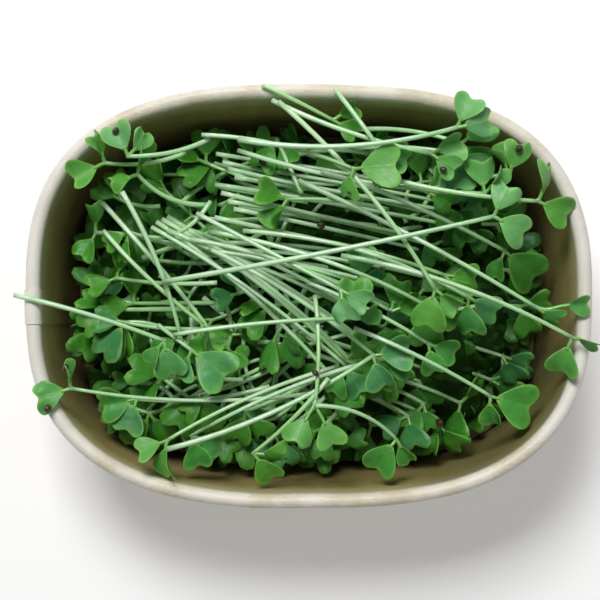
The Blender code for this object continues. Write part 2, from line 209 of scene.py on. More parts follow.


# %% [markdown]
# ## The kraft board
# The bowl is unbleached paperboard with a thin clear coat that keeps it dry, so it is a warm
# brown with a soft gloss. Pulp shows as fine fibres, mostly along the bowl's length, with
# a few dark and pale flecks. The rolled rim is worn pale, and painted light makes it paler
# still at the bowl's ends. The wall just under the rim gets painted light too. The lined
# inside is glossier, and its darker colour is painted shade, as is the darker base panel.
# Painted shade also darkens both towards the foot and in one corner. Object coordinates
# suit the board, because its fibres are finer than its bends.

# %% Kraft finishes
DARK_FLECK, PALE_FLECK = (0.13, 0.075, 0.035), (0.80, 0.70, 0.52)
# Painted light just under the rim, painted shade towards the foot, and painted shade in one corner
PAINTED_LIGHT_UNDER_RIM, PAINTED_SHADE_AT_FOOT, PAINTED_SHADE_IN_CORNER = (0.68, 0.59, 0.38), (0.17, 0.13, 0.045), (0.13, 0.12, 0.04)
# The rim's worn colours, and painted light that pales it at the bowl's ends
WORN_DARK, WORN_PALE, PAINTED_LIGHT_AT_ENDS = (0.66, 0.59, 0.44), (0.84, 0.80, 0.72), (0.85, 0.85, 0.84)
LINING_TOP = 50.5 * MM


def kraft(name, colour, dark, gloss, shade=0.0):
    """Board in two close colours, with a gloss, painted light under the rim, and painted shade that deepens
    towards the foot and in one corner.
    """
    finish = Finish(name, Coat_Roughness=0.35, Specular_IOR_Level=0.45)
    place = finish.place()
    x, y, z = finish.parts(place)
    cloud = finish.noise(place, 90, 3)
    fibre = finish.noise(finish.stretch(place, (380, 1500, 1500)), 1, 3, 0.65)
    fleck = finish.noise(finish.stretch(place, (1300, 1900, 1900)), 1, 1)
    fleck = finish.smooth(fleck, 0.66, 0.74)
    pale = finish.noise(finish.stretch(place, (900, 1700, 1700)), 1, 1)
    pale = finish.smooth(pale, 0.68, 0.76)
    tone = finish.blend(finish.smooth(cloud + fibre * 0.8, 0.65, 1.2), dark, colour)
    tone = finish.blend(fleck * 0.45, tone, DARK_FLECK)
    tone = finish.blend(pale * 0.35, tone, PALE_FLECK)
    band = finish.noise(finish.stretch(place, (190, 190, 6)), 1, 2)
    tone = finish.blend(finish.smooth(band, 0.4, 0.65) * 0.3, tone, dark)
    # Painted light: the wall is paler just under the rim
    tone = finish.blend(finish.smooth(z, 40 * MM, 48 * MM) * 0.5, tone, PAINTED_LIGHT_UNDER_RIM)
    # Painted shade: darker towards the foot, as much as the finish asks for
    tone = finish.blend(finish.smooth(z, 42 * MM, 16 * MM) * shade, tone, PAINTED_SHADE_AT_FOOT)
    # Painted shade in one corner of the inside and the base, not a damp patch
    corner = finish.smooth(x - 0.9 * y, 75 * MM, 100 * MM) * finish.smooth(y, 0, -30 * MM)
    tone = finish.blend(corner * shade, tone, PAINTED_SHADE_IN_CORNER)
    rim_wear_and_light = finish.blend(finish.smooth(cloud + fibre * 0.5, 0.55, 0.9), WORN_DARK, WORN_PALE)
    # Painted light: the rim is paler at the bowl's ends
    ends = finish.smooth(finish.maths("ABSOLUTE", x), 58 * MM, 84 * MM)
    rim_wear_and_light = finish.blend(ends * 0.6, rim_wear_and_light, PAINTED_LIGHT_AT_ENDS)
    tone = finish.blend(finish.smooth(z, 47.8 * MM, 51.2 * MM) * 0.85, tone, rim_wear_and_light)
    finish.drive("Base Color", tone)
    finish.drive("Roughness", 0.46 + fibre * 0.22)
    finish.drive("Coat Weight", gloss * (1 - fleck))
    finish.bump(fibre + cloud * 0.5, 0.35, 0.0002)
    return finish.material


KRAFT_WALL = kraft("kraft wall", (0.58, 0.465, 0.235), (0.45, 0.345, 0.16), 0.30)
# The lining makes the inside glossier, and its darker colour is painted shade
KRAFT_LINED_SHADED = kraft("lined kraft wall in painted shade", (0.44, 0.345, 0.135), (0.32, 0.245, 0.085), 0.45, 0.6)
# The base panel's darker colour is painted shade
KRAFT_BASE = kraft("kraft base", (0.36, 0.29, 0.12), (0.27, 0.21, 0.08), 0.25, 0.8)
print("kraft nodes:", len(KRAFT_WALL.node_tree.nodes))


def line_inside(piece):
    """Turns the faces that look into the bowl to the piece's second finish."""
    for face in piece.data.polygons:
        inward = face.normal.x * face.center.x + face.normal.y * face.center.y < 0
        face.material_index = int(inward and face.center.z < LINING_TOP)


# %% [markdown]
# ## The bowl's side wall
# The wall is one strip of board. Its plan is a squarish oval that is squarer at the foot
# than at the rim, because the full bowl bows its long sides out. A circle is added at the
# foot and each next ring is extruded from the last and drawn on to the oval, up the wall
# and round the roll of the rim. Solidify then gives the board its thickness. A real wall of
# paper is never quite even, so a slight ripple runs round it that grows with height.

# %% Sizes of the bowl
RIM_LENGTH = 172 * MM
RIM_WIDTH = 129 * MM
FOOT_LENGTH = 154 * MM
FOOT_WIDTH = 110 * MM
HEIGHT = 52 * MM
RIM_SQUARENESS = 2.75
FOOT_SQUARENESS = 3.1
BOARD = 0.6 * MM
GAP = 0.3 * MM
CURL_RADIUS = 1.9 * MM
BASE_RECESS = 4.5 * MM
RIPPLE = 0.12 * MM
STATIONS = 160
PITCH = BOARD + GAP
print("the rim reaches past the foot by", round((RIM_LENGTH - FOOT_LENGTH) / 2 / MM, 1), "mm")


def oval(share):
    """Half the length and width and the squareness of the wall, at a share of its height."""
    curl_reach = 2 * CURL_RADIUS + BOARD / 2
    half_x = (1 - share) * (FOOT_LENGTH - BOARD) / 2 + share * (RIM_LENGTH / 2 - curl_reach)
    half_y = (1 - share) * (FOOT_WIDTH - BOARD) / 2 + share * (RIM_WIDTH / 2 - curl_reach)
    return half_x, half_y, (1 - share) * FOOT_SQUARENESS + share * RIM_SQUARENESS


def outline(height, angle, outward=0.0):
    """A point of the wall's middle layer at this height and plan angle, moved outward."""
    half_x, half_y, power = oval(min(max(height / HEIGHT, 0), 1))
    across, along = abs(math.cos(angle)) / half_x, abs(math.sin(angle)) / half_y
    reach = (across**power + along**power) ** (-1 / power)
    x, y = reach * math.cos(angle), reach * math.sin(angle)
    slope_x = math.copysign(abs(x / half_x) ** (power - 1) / half_x, x)
    slope_y = math.copysign(abs(y / half_y) ** (power - 1) / half_y, y)
    steepness = math.hypot(slope_x, slope_y)
    return Vector((x + outward * slope_x / steepness, y + outward * slope_y / steepness, height))


def ripple(angle, size):
    """How far the wall's unevenness pushes it outward at this plan angle, for its size."""
    waves = math.sin(3 * angle + 0.6) + 0.6 * math.sin(7 * angle + 2) + 0.4 * math.sin(13 * angle)
    return size * waves


def rings_of(section, name, rippled):
    """Draws an extruded circle's rings on to the oval, one for each (outward, height).

    Every ring keeps the plan angles that the first ring's points have on the oval.
    """
    piece = start_piece(name, bpy.ops.mesh.primitive_circle_add, vertices=STATIONS, radius=1)
    bm = bmesh.from_edit_mesh(piece.data)
    for vert in bm.verts:
        vert.select_set(True)
    for number, (outward, height) in enumerate(section):
        if number:
            bpy.ops.mesh.extrude_edges_move()
        bm = bmesh.from_edit_mesh(piece.data)
        for vert in (v for v in bm.verts if v.select):
            angle = math.atan2(vert.co.y, vert.co.x) if number == 0 else station[vert.index % STATIONS]
            lift = rippled * height / HEIGHT
            vert.co = outline(height, angle, outward + ripple(angle, lift))
        if number == 0:
            station = [math.atan2(v.co.y, v.co.x) for v in bm.verts]
        bmesh.update_edit_mesh(piece.data)
    return piece


def wall_section():
    """The folded board in section: hem, foot fold, wall and rolled rim."""
    foot = BOARD / 2
    hem = [(-2 * PITCH, BASE_RECESS - foot - GAP), (-2 * PITCH, 2 * MM), (-2 * PITCH, 0.8 * MM)]
    fold = [(-2 * PITCH + 0.17 * MM, 0.45 * MM), (-2 * PITCH + 0.5 * MM, foot)]
    fold += [(-0.5 * MM, foot), (-0.17 * MM, 0.45 * MM), (0, 0.8 * MM)]
    wall = [(0, height * MM) for height in (3, 8, 14, 20, 26, 32, 38, 43, 47)]
    roll_height = HEIGHT - foot - CURL_RADIUS
    turns = [math.radians(180 - step * 15) for step in range(23)]
    roll = [
        (CURL_RADIUS + CURL_RADIUS * math.cos(a), roll_height + CURL_RADIUS * math.sin(a)) for a in turns
    ]
    return hem + fold + wall + roll


# %% Model the wall
THICKNESS = ("SOLIDIFY", {"thickness": BOARD, "offset": 0, "use_even_offset": True})
wall = rings_of(wall_section(), "kraft_wall", RIPPLE)
bpy.ops.mesh.select_all(action="SELECT")
bpy.ops.mesh.normals_make_consistent(inside=False)
end_piece(wall, [THICKNESS])
bpy.ops.object.shade_smooth_by_angle(angle=SMOOTH_UNDER)
hand_over(wall, (KRAFT_WALL, KRAFT_LINED_SHADED), "kraft_wall", "bowl_wall")
line_inside(wall)

# %% [markdown]
# ## The lap of the wall
# The strip of board is closed by a lap at the bowl's left end. Its two free edges show as
# a fine step, one inside that runs over the rim and one outside. Each is a grid that is
# drawn on to the wall a paper's thickness away from it, and thickened.


# %% Model the lap
LAP = 0.35 * MM
AWAY = (BOARD + LAP) / 2


def lap(name, section, middle, half_angle):
    """A strip of board on the wall, round this plan angle in degrees."""
    rows = len(section) - 1
    grid = {"x_subdivisions": 8, "y_subdivisions": rows, "size": 2}
    piece = start_piece(name, bpy.ops.mesh.primitive_grid_add, **grid)
    bm = bmesh.from_edit_mesh(piece.data)
    for vert in bm.verts:
        outward, height = section[round((vert.co.y + 1) / 2 * rows)]
        angle = math.radians(middle + vert.co.x * half_angle)
        vert.co = outline(height, angle, outward + ripple(angle, RIPPLE * height / HEIGHT))
    bmesh.update_edit_mesh(piece.data)
    bpy.ops.mesh.select_all(action="SELECT")
    bpy.ops.mesh.normals_make_consistent(inside=False)
    end_piece(piece, [("SOLIDIFY", {"thickness": LAP, "offset": 0, "use_even_offset": True})])
    bpy.ops.object.shade_smooth_by_angle(angle=SMOOTH_UNDER)
    hand_over(piece, (KRAFT_WALL, KRAFT_LINED_SHADED), "kraft_wall")
    line_inside(piece)


heights = (7, 10, 14, 18, 22, 26, 30, 34, 38, 42, 45, 47)
turns = [math.radians(165 - step * 15) for step in range(18)]
roll_height, reach = HEIGHT - BOARD / 2 - CURL_RADIUS, CURL_RADIUS + AWAY
over_rim = [(CURL_RADIUS + reach * math.cos(a), roll_height + reach * math.sin(a)) for a in turns]
lap("inner_lap", [(-AWAY, height * MM) for height in heights] + over_rim, 182.5, 3.6)
lap("outer_lap", [(AWAY, height * MM) for height in heights[:-1]], 186.5, 3.4)

# %% [markdown]
# ## The base panel
# The base is a separate panel whose flange turns down inside the wall's folded foot. It is
# drawn from the same rings, and the last ring is filled. Two insets give the panel a border
# and a middle that sags a little. The fold between panel and flange is a tight bend, so it
# gets a bevel.

# %% Model the base
BASE_FOLD, BASE_SAG = 0.35 * MM, 0.25 * MM
base_section = [(-PITCH, PITCH + 0.1 * MM), (-PITCH, 2.5 * MM), (-PITCH, BASE_RECESS)]
base = rings_of(base_section, "kraft_base", 0)
bpy.ops.mesh.edge_face_add()
bpy.ops.mesh.inset(thickness=3 * MM)
bpy.ops.mesh.inset(thickness=12 * MM)
bpy.ops.transform.translate(value=(0, 0, -BASE_SAG))
bpy.ops.mesh.select_all(action="SELECT")
bpy.ops.mesh.normals_make_consistent(inside=False)
end_piece(base, [("BEVEL", {"width": BASE_FOLD, "segments": 3, "angle_limit": 0.9}), THICKNESS])
bpy.ops.object.shade_smooth_by_angle(angle=SMOOTH_UNDER)
hand_over(base, KRAFT_BASE, "kraft_base", "bowl_base")

# %% [markdown]
# ## One stem, one seed leaf
# A sprout's stem is a thin round stalk. It is modelled once as a unit cylinder, cut into
# rings along its length and with its cut end pressed in, as a blade leaves it. The seed
# leaf is modelled once as a flat grid whose rows are scaled across to the leaf's width and
# whose front rows are drawn out into two lobes round a notch. A copy that is subdivided
# serves the sprouts on top. All carry an attribute called lay, which says where a point is
# on the stem or leaf, so that the finish can follow it.

# %% Model the stem
STEM_SIDES = 8
STEM_RINGS = 15
CUT_EDGE, CUT_DEPTH = 0.25, 0.004


def add_lay(mesh, values):
    """Stores three numbers at each point for the finish to read."""
    layer = mesh.attributes.new("lay", "FLOAT_VECTOR", "POINT")
    layer.data.foreach_set("vector", np.asarray(values, np.float32).ravel())


rod = {"vertices": STEM_SIDES, "depth": 1, "radius": 1}
stem = start_piece("stem", bpy.ops.mesh.primitive_cylinder_add, **rod)
bpy.ops.transform.translate(value=(0, 0, 0.5))
pick(stem, lambda p: 0.1 < p.z < 0.9, "EDGE")
bpy.ops.mesh.subdivide(number_cuts=STEM_RINGS - 1)
pick(stem, lambda p: p.z < 0.001, "FACE")
bpy.ops.mesh.inset(thickness=CUT_EDGE)
bpy.ops.transform.translate(value=(0, 0, CUT_DEPTH))
end_piece(stem)
add_lay(stem.data, [(v.co.x, v.co.y, v.co.z) for v in stem.data.vertices])

# %% Model the seed leaf
# How far along the leaf each row of points is, and how wide it is there
LEAF_ROWS = ((0.00, 0.13), (0.14, 0.36), (0.36, 0.75), (0.61, 0.99), (0.80, 0.96))
# How far each column's points are drawn forward, from the rib outward, and how much of it
# the front row and the two behind it take
LOBE = {0: -0.03, 1: 0.12, 2: 0.18, 3: 0.03}
LOBE_SHARES = ((4, 1.0), (3, 0.45), (2, 0.12))
# The front row is modelled this much further on, so that its lobes don't mix with the next row
APART = 0.2
LEAF_THICKNESS = 0.038

grid = {"x_subdivisions": 4, "y_subdivisions": 6, "size": 1}
leaf = start_piece("leaf", bpy.ops.mesh.primitive_grid_add, **grid)
bpy.ops.mesh.select_all(action="SELECT")
bpy.ops.transform.translate(value=(0.5, 0, 0))
end_piece(leaf)
add_lay(leaf.data, [(v.co.x, 2 * v.co.y, 0.5) for v in leaf.data.vertices])
bpy.ops.object.mode_set(mode="EDIT")
for row in range(4, -1, -1):
    along, across = LEAF_ROWS[row]
    pick(leaf, lambda p: abs(p.x - row / 4) < 0.01)
    bpy.ops.transform.resize(value=(1, across, 1), center_override=(0, 0, 0))
    bpy.ops.transform.translate(value=(along - row / 4 + (row == 4) * APART, 0, 0))
for column, drawn in LOBE.items():
    for row, share in LOBE_SHARES:
        along, across = LEAF_ROWS[row]
        here = along + (row == 4) * APART
        side = column / 6 * across
        pick(leaf, lambda p: abs(p.x - here) < 0.01 and abs(abs(p.y) - side) < 0.01)
        bpy.ops.transform.translate(value=(drawn * share, 0, 0))
pick(leaf, lambda p: p.x > 0.9)
bpy.ops.transform.translate(value=(-APART, 0, 0))
end_piece(leaf)
fine_leaf = leaf.copy()
fine_leaf.data = leaf.data.copy()
bpy.context.scene.collection.objects.link(fine_leaf)
LEAF_SHELL = ("SOLIDIFY", {"thickness": LEAF_THICKNESS, "offset": 0, "use_even_offset": True})
for piece, levels in ((leaf, 0), (fine_leaf, 2)):
    bpy.ops.object.select_all(action="DESELECT")
    bpy.context.view_layer.objects.active = piece
    piece.select_set(True)
    bpy.ops.object.mode_set(mode="EDIT")
    smooth = [("SUBSURF", {"levels": levels, "render_levels": levels})] if levels else []
    end_piece(piece, [LEAF_SHELL, *smooth])

# %% Take each model's mesh as arrays
Model = namedtuple("Model", "points faces lay")


def model_of(piece):
    """Takes the piece's points, faces and lay, and deletes the piece."""
    mesh = piece.data
    points = np.array([v.co for v in mesh.vertices])
    lay = np.array([item.vector for item in mesh.attributes["lay"].data])
    faces = [tuple(polygon.vertices) for polygon in mesh.polygons]
    bpy.data.objects.remove(piece)
    return Model(points, faces, lay)


STEM, LEAF, FINE_LEAF = model_of(stem), model_of(leaf), model_of(fine_leaf)
print("leaf faces", len(LEAF.faces), "fine leaf faces", len(FINE_LEAF.faces))

# %% [markdown]
# ## Laying stems and leaves
# A copy of the stem is laid along a line: each ring goes to its place on the line and is
# turned square to it. A copy of the leaf is folded along its rib, curled, and turned to its
# heading, pitch and roll. Curve and Simple Deform modifiers could do both by hand, but for
# hundreds of copies sums on the model's points are far quicker.

# %% Lay a stem along a line and a leaf at a place
STEM_RADIUS = 0.80 * MM
STALK_RADIUS = 0.56 * MM
# The length of a leaf for each unit of its width, on the object and as it was modelled
LEAF_LENGTH, MODEL_LENGTH = 0.86, 0.97
# The share of its stalk's listed length at which a leaf starts
STALK_SHARE = 0.8


def unit(vectors):
    """Each vector made one unit long."""
    return vectors / np.maximum(np.linalg.norm(vectors, axis=-1, keepdims=True), 1e-9)


def lay_stem(line, radius, taper):
    """The stem's points along the line, with a radius that tapers towards its end."""
    steps = np.linalg.norm(np.diff(line, axis=0), axis=1)
    share = np.concatenate([[0], np.cumsum(steps)]) / steps.sum()
    t = STEM.points[:, 2]
    centre = np.stack([np.interp(t, share, line[:, i]) for i in range(3)], axis=1)
    heading = unit(np.gradient(line, axis=0))
    heading = unit(np.stack([np.interp(t, share, heading[:, i]) for i in range(3)], axis=1))
    side = unit(np.cross((0, 0, 1), heading))
    up = np.cross(heading, side)
    wide = radius * (1 - (1 - taper) * t)[:, None]
    return centre + wide * (side * STEM.points[:, :1] + up * STEM.points[:, 1:2])


def lay_leaf(model, place, leaf, shape):
    """The leaf's points with its base at the end of its stalk, which starts at the place."""
    fold, curl, cup, wave, turn = shape
    x, y, z = model.points.T.copy()
    y = y * (1 + 0.06 * turn * np.sign(y))
    x = x + 0.05 * turn * y
    lift = 1.25 * fold * np.abs(y) ** 1.6 - curl * x**2 + cup * (y**2 * 2 - 0.1) * x
    lift = lift + wave * np.sin(7 * y + 9 * turn) * x**2 * np.abs(y)
    points = np.stack([x * LEAF_LENGTH / MODEL_LENGTH, y, z + lift], axis=1) * leaf.width * MM
    points[:, 0] += leaf.stalk * STALK_SHARE * MM
    matrix = Matrix.Rotation(math.radians(leaf.heading), 3, "Z")
    matrix = matrix @ Matrix.Rotation(math.radians(-leaf.pitch), 3, "Y")
    matrix = matrix @ Matrix.Rotation(math.radians(leaf.roll), 3, "X")
    return points @ np.array(matrix).T + place, np.array(matrix)


# %% [markdown]
# ## The sprouts that show
# First come the sprouts that lie under the top ones, in their own order, and then those of
# the solid model, lowest first. Each has its cut end and its neck in millimetres from above,
# how far its stem bows to its left, and a leaf for each (heading, pitch, roll, width), with
# the length of its stalk where that isn't the usual one. A row that ends in True keeps
# a seed coat on its first leaf. No heights are listed: those on top are measured on the solid
# model, and the others follow from what lies over them.

# %% The list of sprouts
USUAL_STALK = 3.0
Sprout = namedtuple("Sprout", "cut neck bow leaves seed", defaults=(False,))
Leaf = namedtuple("Leaf", "heading pitch roll width stalk", defaults=(USUAL_STALK,))


def sprouts(rows):
    return tuple(Sprout(*row) for row in rows)


# Stems that lie side by side: across the middle, along the far side and between these two
BUNDLED_SPROUTS = (
    *sprouts(
        ((-47 + 1.6 * i, 23 - 1.1 * i + (i % 3) * 2), (9 + 3 * i, -27 + 2.6 * i + (i % 2) * 4), 2.5,
         ((300 + 37 * i % 80, 5, 10, 10), (345 + 53 * i % 70, 5, -10, 9)))
        for i in range(12)
    ),
    *sprouts(
        ((-29 + 2 * (i % 4), 45 - 2.6 * i), (38 + 3 * (i % 5), 33 - 2.7 * i), 1.5 - i % 3,
         ((20 + 47 * i % 70, 8, 20, 9, 4), (330 - 31 * i % 60, 5, 30, 9)))
        for i in range(11)
    ),
    *sprouts(
        ((-26 + 1.3 * i, 17 - 1.5 * i), (32 + 4 * (i % 3), 12 - 2.4 * i), 1.5,
         ((350 + 31 * i % 60, 5, 10, 9), (310 - 23 * i % 50, 5, 20, 9, 4)))
        for i in range(8)
    ),
)

# Sprouts that show between the upper ones
HALF_HIDDEN_SPROUTS = sprouts((
    ((5, 34), (-33, 43), 2, ((92, 5, 0, 10), (160, 10, 40, 8))),
    ((10, 36), (-27, 44), 2, ((78, 10, 70, 9), (120, 0, 20, 8))),
    ((-5, 40), (-30, 43), 1, ((205, 5, 45, 12), (240, 5, 20, 8))),
    ((-40, 30), (-17, 44), 2, ((50, 10, 30, 10), (100, 20, 40, 8))),
    ((-8, 44), (20, 46), 2, ((350, 5, 10, 12), (40, 10, 30, 9))),
    ((-12, 34), (23, 26), 1, ((85, 25, 75, 10), (300, 5, 60, 9))),
    ((-22, 28), (14, 23), 1, ((250, 5, 65, 9), (330, 10, 60, 9))),
    ((10, 20), (40, 13), 1, ((340, 5, 60, 11), (20, 10, 20, 8))),
    ((14, 4), (-13, -3), 1, ((228, 5, 35, 11), (180, 5, 60, 8))),
    ((0, 10), (-22, 1), 0, ((200, 5, 10, 8), (120, 5, 30, 7))),
    ((0, 4), (-10, -12), 0, ((245, 5, 55, 12), (330, 5, 30, 8))),
    ((14, -4), (-5, -11), 0, ((255, 0, 10, 11), (300, 5, 40, 8))),
    ((-20, -26), (-46, -25), 0, ((165, 8, 25, 11), (230, 5, 60, 9))),
    ((-30, -10), (-58, -8), 1, ((235, 5, 40, 13), (170, 5, 10, 9))),
    ((-28, 4), (-61, 6), 1, ((75, 15, 55, 11), (200, 5, 30, 9))),
    ((-25, -2), (-56, -2), 0, ((98, 10, 50, 11), (190, 0, 30, 10))),
    ((-36, -4), (-64, -4), 0, ((215, 5, 30, 10), (150, 10, 40, 9))),
    ((-10, -20), (-32, -31), 0, ((266, 0, 5, 11), (215, 5, 30, 9))),
    ((4, -24), (-20, -36), 1, ((250, 0, 10, 10), (300, 0, 30, 9))),
    ((-16, -14), (10, -21), 1, ((262, 0, 50, 13), (240, 5, 20, 8))),
    ((-8, -18), (20, -21), 0, ((252, 0, 30, 10), (330, 5, 10, 8))),
    ((0, -12), (26, -20), 0, ((258, 0, 30, 13), (310, 5, 20, 9))),
    ((-12, -2), (19, -9), 1, ((55, 10, 15, 11), (20, 5, 50, 9))),
    ((18, -2), (44, -13), 0, ((320, 0, 10, 11), (350, 5, 30, 9))),
    ((30, 2), (58, -3), 1, ((295, 0, 40, 13), (262, 5, 40, 11))),
    ((28, -8), (57, -15), 0, ((275, 0, 10, 12), (320, 0, 20, 10))),
    ((36, -10), (63, -19), 0, ((300, 0, 30, 9), (340, 5, 30, 8))),
    ((4, -28), (32, -38), 2, ((285, 5, 20, 10), (210, 5, 10, 9))),
    ((8, -22), (37, -34), 1, ((240, 5, 10, 9), (285, 5, 10, 8))),
    ((14, -30), (42, -41), 2, ((255, 10, 60, 9), (310, 10, 50, 10))),
    ((20, -24), (49, -34), 1, ((262, 10, 55, 11), (40, 10, 60, 9))),
    ((6, -16), (36, -27), 0, ((262, 0, 10, 9), (300, 5, 20, 9))),
    ((30, 22), (62, 24), 1, ((15, 0, 20, 10), (300, 5, 30, 9))),
    ((36, 12), (66, 12), 0, ((320, 0, 20, 11), (20, 5, 40, 9))),
    ((32, 6), (62, 4), 0, ((300, 0, 25, 11), (345, 5, 30, 9))),
    ((20, 10), (51, 4), 0, ((290, 0, 30, 12), (250, 5, 30, 9))),
    ((16, 24), (48, 22), 0, ((310, 0, 10, 11), (20, 5, 30, 10))),
    ((-8, 26), (-38, 26), 1, ((215, 10, 50, 10), (110, 15, 60, 8))),
    ((0, 30), (-30, 36), 0, ((80, 10, 30, 9), (250, 5, 40, 9))),
    ((-52, 12), (-29, 22), 0, ((40, 5, 10, 10, 2), (355, 5, 10, 9, 4))),
    ((-22, 12), (-48, 12), 1, ((80, 10, 45, 11), (160, 5, 30, 9))),
    ((-20, -30), (-50, -42), 1, ((300, 0, 30, 10), (250, 0, 10, 9))),
    ((20, -26), (4, -42), 0, ((265, 0, 20, 9), (200, 5, 30, 8))),
    ((-4, 50), (17, 51), 2, ((20, 5, 40, 9), (320, 5, 20, 9))),
    ((-38, 38), (-28, 47), 1, ((70, 20, 30, 10), (130, 5, 20, 8))),
    ((-24, 38), (-12, 48), 1, ((50, 15, 30, 9), (120, 10, 20, 9))),
    ((32, 40), (50, 43), 1, ((10, 5, 40, 10), (60, 15, 30, 8))),
    ((-46, 28), (-60, 31), 1, ((150, 5, 30, 9), (100, 15, 40, 9))),
    ((46, 8), (66, 9), 1, ((20, 5, 20, 9), (300, 5, 30, 8))),
    ((48, -4), (68, -3), 1, ((10, 5, 30, 9), (290, 5, 20, 9))),
    ((40, -22), (60, -27), 1, ((330, 5, 40, 10), (20, 10, 20, 8))),
    ((45, -14), (51, -18), 0, ((345, 5, 10, 10), (280, 5, 20, 10))),
    ((40, -20), (48, -24), 0, ((10, 5, 20, 9), (300, 5, 10, 10))),
    ((54, -4), (62, -7), 0, ((330, 5, 10, 9), (20, 5, 20, 9))),
    ((-16, 14), (-26, 16), 0, ((170, 5, 10, 10), (110, 5, 20, 9))),
))

# The sprouts of the solid model's own bed
BED_SPROUTS = sprouts((
    ((-42, -1), (-67, 1), 2, ((112, 5, 20, 10), (240, 0, -25, 10))),
    ((-36, -17), (-58, -8), -3, ((235, 10, 15, 12), (262, 0, 30, 10))),
    ((-40, 6), (-59, 7), 2, ((225, 10, 50, 10), (62, 15, 30, 11))),
    ((-3, 34), (-28, 41), 2, ((150, 15, 0, 11), (62, 25, 60, 8))),
    ((36, 25), (57, 28), 2, ((30, 15, 20, 10), (330, 5, 30, 9))),
    ((42, 14), (65, 19), 2, ((340, 0, 10, 10), (255, 0, 20, 9))),
    ((30, -10), (57, -17), 2, ((330, 0, 20, 11), (285, 0, 15, 10))),
    ((27, -20), (51, -29), 1, ((258, 0, 50, 11), (330, 5, 20, 9))),
    ((16, -30), (42, -43), 2, ((60, 15, 65, 10), (215, 5, 30, 9))),
    ((5, -28), (32, -39), 2, ((282, 0, 10, 9), (20, 10, 30, 8))),
    ((-10, -22), (-35, -31), 1, ((235, 5, 0, 13), (295, 5, 20, 11))),
    ((-27, -24), (-51, -37), 2, ((248, 0, 40, 11), (305, 0, 30, 10))),
    ((10, -26), (-11, -44), 2, ((290, 0, 10, 10), (235, 5, 30, 8))),
    ((0, 26), (24, 42), 2, ((130, 10, 10, 9), (60, 15, 10, 9))),
    ((-20, 8), (-48, 20), 2, ((170, 10, 20, 11), (120, 15, 50, 10))),
    ((12, 6), (42, 13), -2, ((20, 10, 20, 11), (300, 10, 30, 10))),
))

